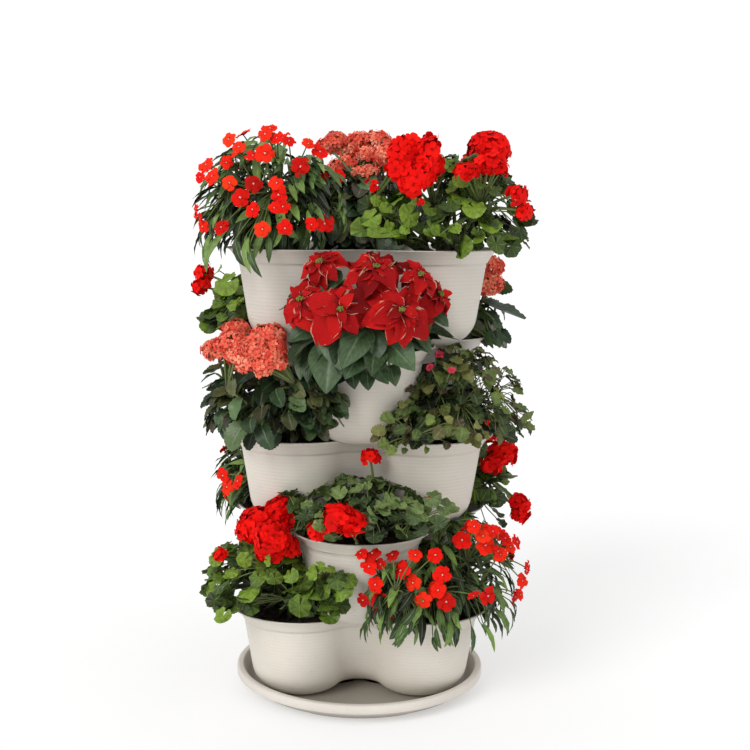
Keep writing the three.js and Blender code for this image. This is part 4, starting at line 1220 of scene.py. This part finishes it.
def kalanchoe(plant, heads):
    """Kalanchoe: thick scalloped oval leaves in a low rosette that folds over the lip, and rounded clusters
    of small four-petalled florets."""
    rng, thick = plant.rng, plant.tier == 3
    many, rise = {3: (360, 0.9), 4: (150, 0.66), 5: (230, 0.88)}[plant.tier]
    scale = 0.78 if thick else 1
    leaf = Leaves(plant, many, 0.026, (0.020 * scale, 0.038 * scale), 0.010, (-0.3, 0.3), 0.4, rise, 0.03,
                  0.35, low=0.02 if thick else -0.2, hollow=0.55, centre_up=0.006, flat=0.8)
    tint = leaf.tints(0.45, 0.25, 1.6, 0.92)
    bend = rng.uniform(-0.1, 0.8, leaf.count) + 0.3 * leaf.low
    green, nodes = leaf.grow(scalloped(15, 14, 0.07), 7, 0.36, bend, 0.28, 0.07, 2.0, tint, 0.0015,
                             (12, 0.0030, 0.0012, 0.55), (0.0018, 0.0012))
    spots, outward, centres = [], [], []
    for out, side, up, radius in heads:
        centres.append(plant.settle(plant.at(out, side, up), 0.004))
        many = int(96 * (radius / 0.02) ** 2)
        axis = unit(plant.out * 0.25 + [0, -0.5, 1.0] + 0.2 * rng.normal(0, 1, 3))
        places, facing = dome(rng, many, centres[-1], radius * 0.86, 0.72, -0.3, axis)
        spots.append(places + rng.normal(0, 0.0012, places.shape))
        outward.append(unit(facing + rng.normal(0, 0.2, facing.shape)))
    foot = np.repeat(centres, [len(s) for s in spots], 0)
    spots, outward = np.concatenate(spots), np.concatenate(outward)
    flowers = florets(plant, spots, outward, 0.0056, plant.tints(len(spots), 0.5, 0.28))
    green.append(stalks(plant, nodes, np.array(centres), 0.0018, 0.0013, 9))
    twigs, marks = tubes(bezier(foot, spots - outward * 0.006, spots, 3), 0.0006, 0.0008, 3)
    green.append(part(plant.settle(twigs, 0.001), 3, 3, poles=BOTH, marks=marks, look=1))
    return green, [bloom_part(plant, [flowers], 0.0008)]


def foliage(plant, heads):
    """A mixed patch of small foliage: many short scalloped and pointed leaves on wiry stems, some of them
    bronze or gold, with a few small flowers."""
    rng = plant.rng
    leaf = Leaves(plant, 640, 0.012, (0.008, 0.020), 0.004, (-0.5, 0.6), 0.4, low=0.0, hollow=0.75,
                  centre_up=0.004)
    tint = leaf.tints(0.5, 0.26, 1.1, 0.9)
    width, bend = rng.uniform(0.26, 0.5, leaf.count), rng.uniform(-0.2, 1.0, leaf.count)
    green, nodes = leaf.grow(scalloped(13, 12, 0.12), 5, width, bend, 0.3, 0.16, 2.5, tint, 0.001,
                             (34, 0.0014, 0.0006, 0.8), (0.0006, 0.0005), 0.001, 5)
    if not len(heads):
        heads = np.array([(plant.middle + 0.020, 0.010, plant.height * 0.9, 0.005),
                          (plant.middle - 0.020, -0.030, plant.height * 0.8, 0.005)])
    centre = plant.settle(plant.at(*heads[:, :3].T), 0.004)
    outward = unit(centre - plant.at(plant.middle - 0.02, 0, 0.02))
    flowers = florets(plant, centre, outward, heads[:, 3], np.full(len(heads), 0.6))
    green.append(stalks(plant, nodes, centre, 0.0010, 0.0007, 9))
    return green, [bloom_part(plant, [flowers])]


def poinsettia(plant, heads):
    """Poinsettia: dark oval leaves below, and stars of long pointed bracts in three rings round a small
    group of yellow-green buds."""
    rng = plant.rng
    leaf = Leaves(plant, 44, 0.045, (0.036, 0.062), 0.012, (0.0, 0.6), 0.45, 0.6, low=-0.12, hollow=0.5,
                  centre_up=0.004, flat=0.7)
    tint = leaf.tints(0.4, 0.2, 1.2, 0.92)
    width, bend = np.where(leaf.depth > 1, 0.38, 0.30), rng.uniform(0.2, 0.9, leaf.count)
    green, nodes = leaf.grow(POINTED, 7, width, bend, 0.3, 0.10, 2.0, tint, 0.0015,
                             (9, 0.0034, 0.0014, 0.6), (0.0018, 0.0012))
    centres, bracts, buds = [], [], []
    for out, side, up, radius in heads:
        centre = plant.settle(plant.at(out, side, up), 0.012)
        axis = unit(centre - plant.at(plant.middle - 0.03, 0, 0.02) + [0, 0, 0.01])
        helper = unit(np.cross(axis, [0.2, 0.1, 0.95]))
        other = np.cross(axis, helper)
        for ring, (number, size, lift) in enumerate([(6, 1.0, -0.45), (5, 0.78, -0.1), (3, 0.4, 0.4)]):
            even = np.arange(number) * 2 * math.pi / number
            turn = rng.uniform(0, 6.28) + even + rng.uniform(-0.18, 0.18, number)
            ray = helper * np.cos(turn)[:, None] + other * np.sin(turn)[:, None]
            tip = lift + rng.normal(0, 0.2, (number, 1))
            ahead, face = ray * np.cos(tip) + axis * np.sin(tip), axis * np.cos(tip) - ray * np.sin(tip)
            reach = radius * size * rng.uniform(0.78, 1.16, number)
            root = centre + axis * (0.001 * ring) + ray * 0.002
            width, bend = reach * rng.uniform(0.29, 0.38, number), rng.uniform(0.1, 1.1, number)
            bracts.append(blades(root, ahead, face, reach, width, POINTED, 7, bend, 0.36, 0.2, 2.0,
                                 plant.phases(number), plant.tints(number, 0.5, 0.25)))
        centres.append(centre)
        buds.append((centre + axis * 0.002, axis))
    green.append(stalks(plant, nodes, np.array(centres), 0.0028, 0.0020, 9))
    spots = np.concatenate([dome(rng, 9, middle, 0.0036, 0.6, 0.1, axis)[0] for middle, axis in buds])
    level = np.array([-0.7, 0.0, 0.7])
    turn = np.linspace(0, 2 * math.pi, 8, endpoint=False)
    around = np.stack([np.cos(turn), np.sin(turn)], -1)
    ring = raised(np.sqrt(1 - level ** 2)[:, None, None] * around, level[:, None])
    ball = np.concatenate([[-UP], ring.reshape(-1, 3), [UP]]) * [1, 1, 1.25]
    beads = spots[:, None] + ball[None] * rng.uniform(0.0009, 0.0016, (len(spots), 1, 1))
    return green, [sheet_part(plant, bracts, len(POINTED), 7, 0.0015),
                   part(beads, 3, 8, poles=BOTH, look=1, outward=True)]


GROWERS = {"geranium": geranium, "impatiens": impatiens, "kalanchoe": kalanchoe, "foliage": foliage,
           "poinsettia": poinsettia}


# ---------------------------------------------------------------- operators

class PLANTER_OT_saucer(bpy.types.Operator):
    """Make the saucer with its rolled rim and foot pads"""
    bl_idname = "planter.saucer"
    bl_label = "Saucer"

    def execute(self, context):
        code = colour_code(context.scene.planter.saucer_colour)
        # SAUCER_INNER is the radius within which painted shade darkens the saucer's inside
        look = moulded_plastic("saucer_polypropylene", code, darker(code, 0.95), 0.0032, 0.00012,
                               SAUCER_INNER)
        piece("saucer_dish", saucer_parts(), [look], "saucer", ["saucer"])
        return {"FINISHED"}


class PLANTER_OT_pots(bpy.types.Operator):
    """Make the five pots"""
    bl_idname = "planter.pots"
    bl_label = "Pots"

    def execute(self, context):
        settings = context.scene.planter
        code = colour_code(settings.pot_colour)
        look = moulded_plastic("pot_polypropylene", code, darker(code, 0.955), settings.line_pitch, 0.0002)
        for tier in range(1, TIERS + 1):
            body = f"tier_{tier}"
            piece(f"{body}_pot_shell", pot_parts(tier), [look], body, [f"{body}_pot"])
        return {"FINISHED"}


class PLANTER_OT_mix(bpy.types.Operator):
    """Make the potting mix in each pot"""
    bl_idname = "planter.mix"
    bl_label = "Potting mix"

    def execute(self, context):
        look = composted_bark("composted_bark")
        for tier in range(1, TIERS + 1):
            body, node = f"tier_{tier}", f"tier_{tier}_potting_mix"
            fill = mix_parts(tier, context.scene.planter.crumb)
            piece(f"{node}_fill", fill, [look], body, [node])
        return {"FINISHED"}


class PLANTER_OT_plants(bpy.types.Operator):
    """Grow every plant's leaves, stems and flowers"""
    bl_idname = "planter.plants"
    bl_label = "Plants"

    def execute(self, context):
        stem = green_stem("green_stem", "#3a3220", "#5f7034")
        leaf = {kind: leaf_blade(*row) for kind, row in LEAF_LOOKS.items()}
        petal = {kind: petal_skin(*row) for kind, row in PETAL_LOOKS.items()}
        bead = green_stem("bract_bud", "#5f6a20", "#b0a23c")
        for index, name in enumerate(NAMES):
            plant = Plant(index)
            green, bright = GROWERS[plant.kind](plant, np.array(BLOOMS.get(name, [])) / 1000)
            body, slot = f"tier_{plant.tier}", f"{plant.kind}_plant"
            green_look = leaf["front" if name == "tier_2_geranium_front" else plant.kind]
            piece(f"{name}_foliage", green, [green_look, stem], body, [name])
            piece(f"{name}_blooms", bright, [petal[plant.kind], bead], body, [name])
        return {"FINISHED"}


class PLANTER_OT_stage(bpy.types.Operator):
    """Make the floor, the light and the camera"""
    bl_idname = "planter.stage"
    bl_label = "Stage"

    def execute(self, context):
        scene = context.scene
        bpy.ops.mesh.primitive_plane_add(size=40, location=(0, 0, 0))
        floor = context.object
        floor.name = "studio_floor"
        look = Look("matt_white_floor")
        put(look.tree, look.shader, {
            "Base Color": linear("#d2d2d2"), "Roughness": 0.95, "Specular IOR Level": 0.1,
            "Emission Color": linear(WHITE), "Emission Strength": 0.40})
        floor.data.materials.append(look.made)
        scene.world = bpy.data.worlds.new("studio_sky")
        scene.world.use_nodes = True
        sky = scene.world.node_tree
        sky.nodes.clear()
        seen = add(sky, "ShaderNodeLightPath", {}).outputs["Is Camera Ray"]
        soft, white = (add(sky, "ShaderNodeBackground", {0: (1, 1, 1, 1), 1: power}).outputs[0]
                       for power in (0.6 * scene.planter.light, 1.05))
        both = add(sky, "ShaderNodeMixShader", {0: seen, 1: soft, 2: white})
        add(sky, "ShaderNodeOutputWorld", {0: both.outputs[0]})
        for name, turn, power, wide in SUNS:
            lamp = bpy.data.lights.new(f"studio_{name}", "SUN")
            lamp.energy, lamp.angle = power * scene.planter.light, math.radians(wide)
            sun = bpy.data.objects.new(f"studio_{name}", lamp)
            sun.rotation_euler = [math.radians(v) for v in turn]
            scene.collection.objects.link(sun)
        camera = bpy.data.cameras.new("photo_camera")
        camera.sensor_fit, camera.sensor_width = "HORIZONTAL", SENSOR
        camera.lens = SENSOR * FOCAL / PICTURE
        camera.shift_x = (PICTURE / 2 - CENTRE[0]) / PICTURE
        camera.shift_y = (CENTRE[1] - PICTURE / 2) / PICTURE
        camera.clip_start, camera.clip_end = 0.05, 100
        eye = bpy.data.objects.new("photo_camera", camera)
        eye.location = EYE
        eye.rotation_euler = (math.pi / 2 - TILT, 0, 0)
        eye.rotation_euler = (eye.rotation_euler.to_matrix() @ Matrix.Rotation(ROLL, 3, "Z")).to_euler()
        scene.collection.objects.link(eye)
        scene.camera = eye
        scene.view_settings.view_transform = "Standard"
        return {"FINISHED"}


class PLANTER_PT_panel(bpy.types.Panel):
    """Lists the steps that make the tower"""
    bl_idname = "PLANTER_PT_panel"
    bl_label = "Planter tower"
    bl_space_type = "VIEW_3D"
    bl_region_type = "UI"
    bl_category = "Planter"

    def draw(self, context):
        settings = context.scene.planter
        for key in PlanterSettings.__annotations__:
            self.layout.prop(settings, key)
        for step in STEPS:
            self.layout.operator(step.bl_idname)


STEPS = (PLANTER_OT_saucer, PLANTER_OT_pots, PLANTER_OT_mix, PLANTER_OT_plants, PLANTER_OT_stage)
CLASSES = (PlanterSettings, *STEPS, PLANTER_PT_panel)


def register():
    for item in CLASSES:
        bpy.utils.register_class(item)
    bpy.types.Scene.planter = bpy.props.PointerProperty(type=PlanterSettings)


def unregister():
    del bpy.types.Scene.planter
    for item in reversed(CLASSES):
        bpy.utils.unregister_class(item)


def main():
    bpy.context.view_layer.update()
    register()
    for step in STEPS:
        group, name = step.bl_idname.split(".")
        getattr(getattr(bpy.ops, group), name)()


if __name__ == "__main__":
    main()
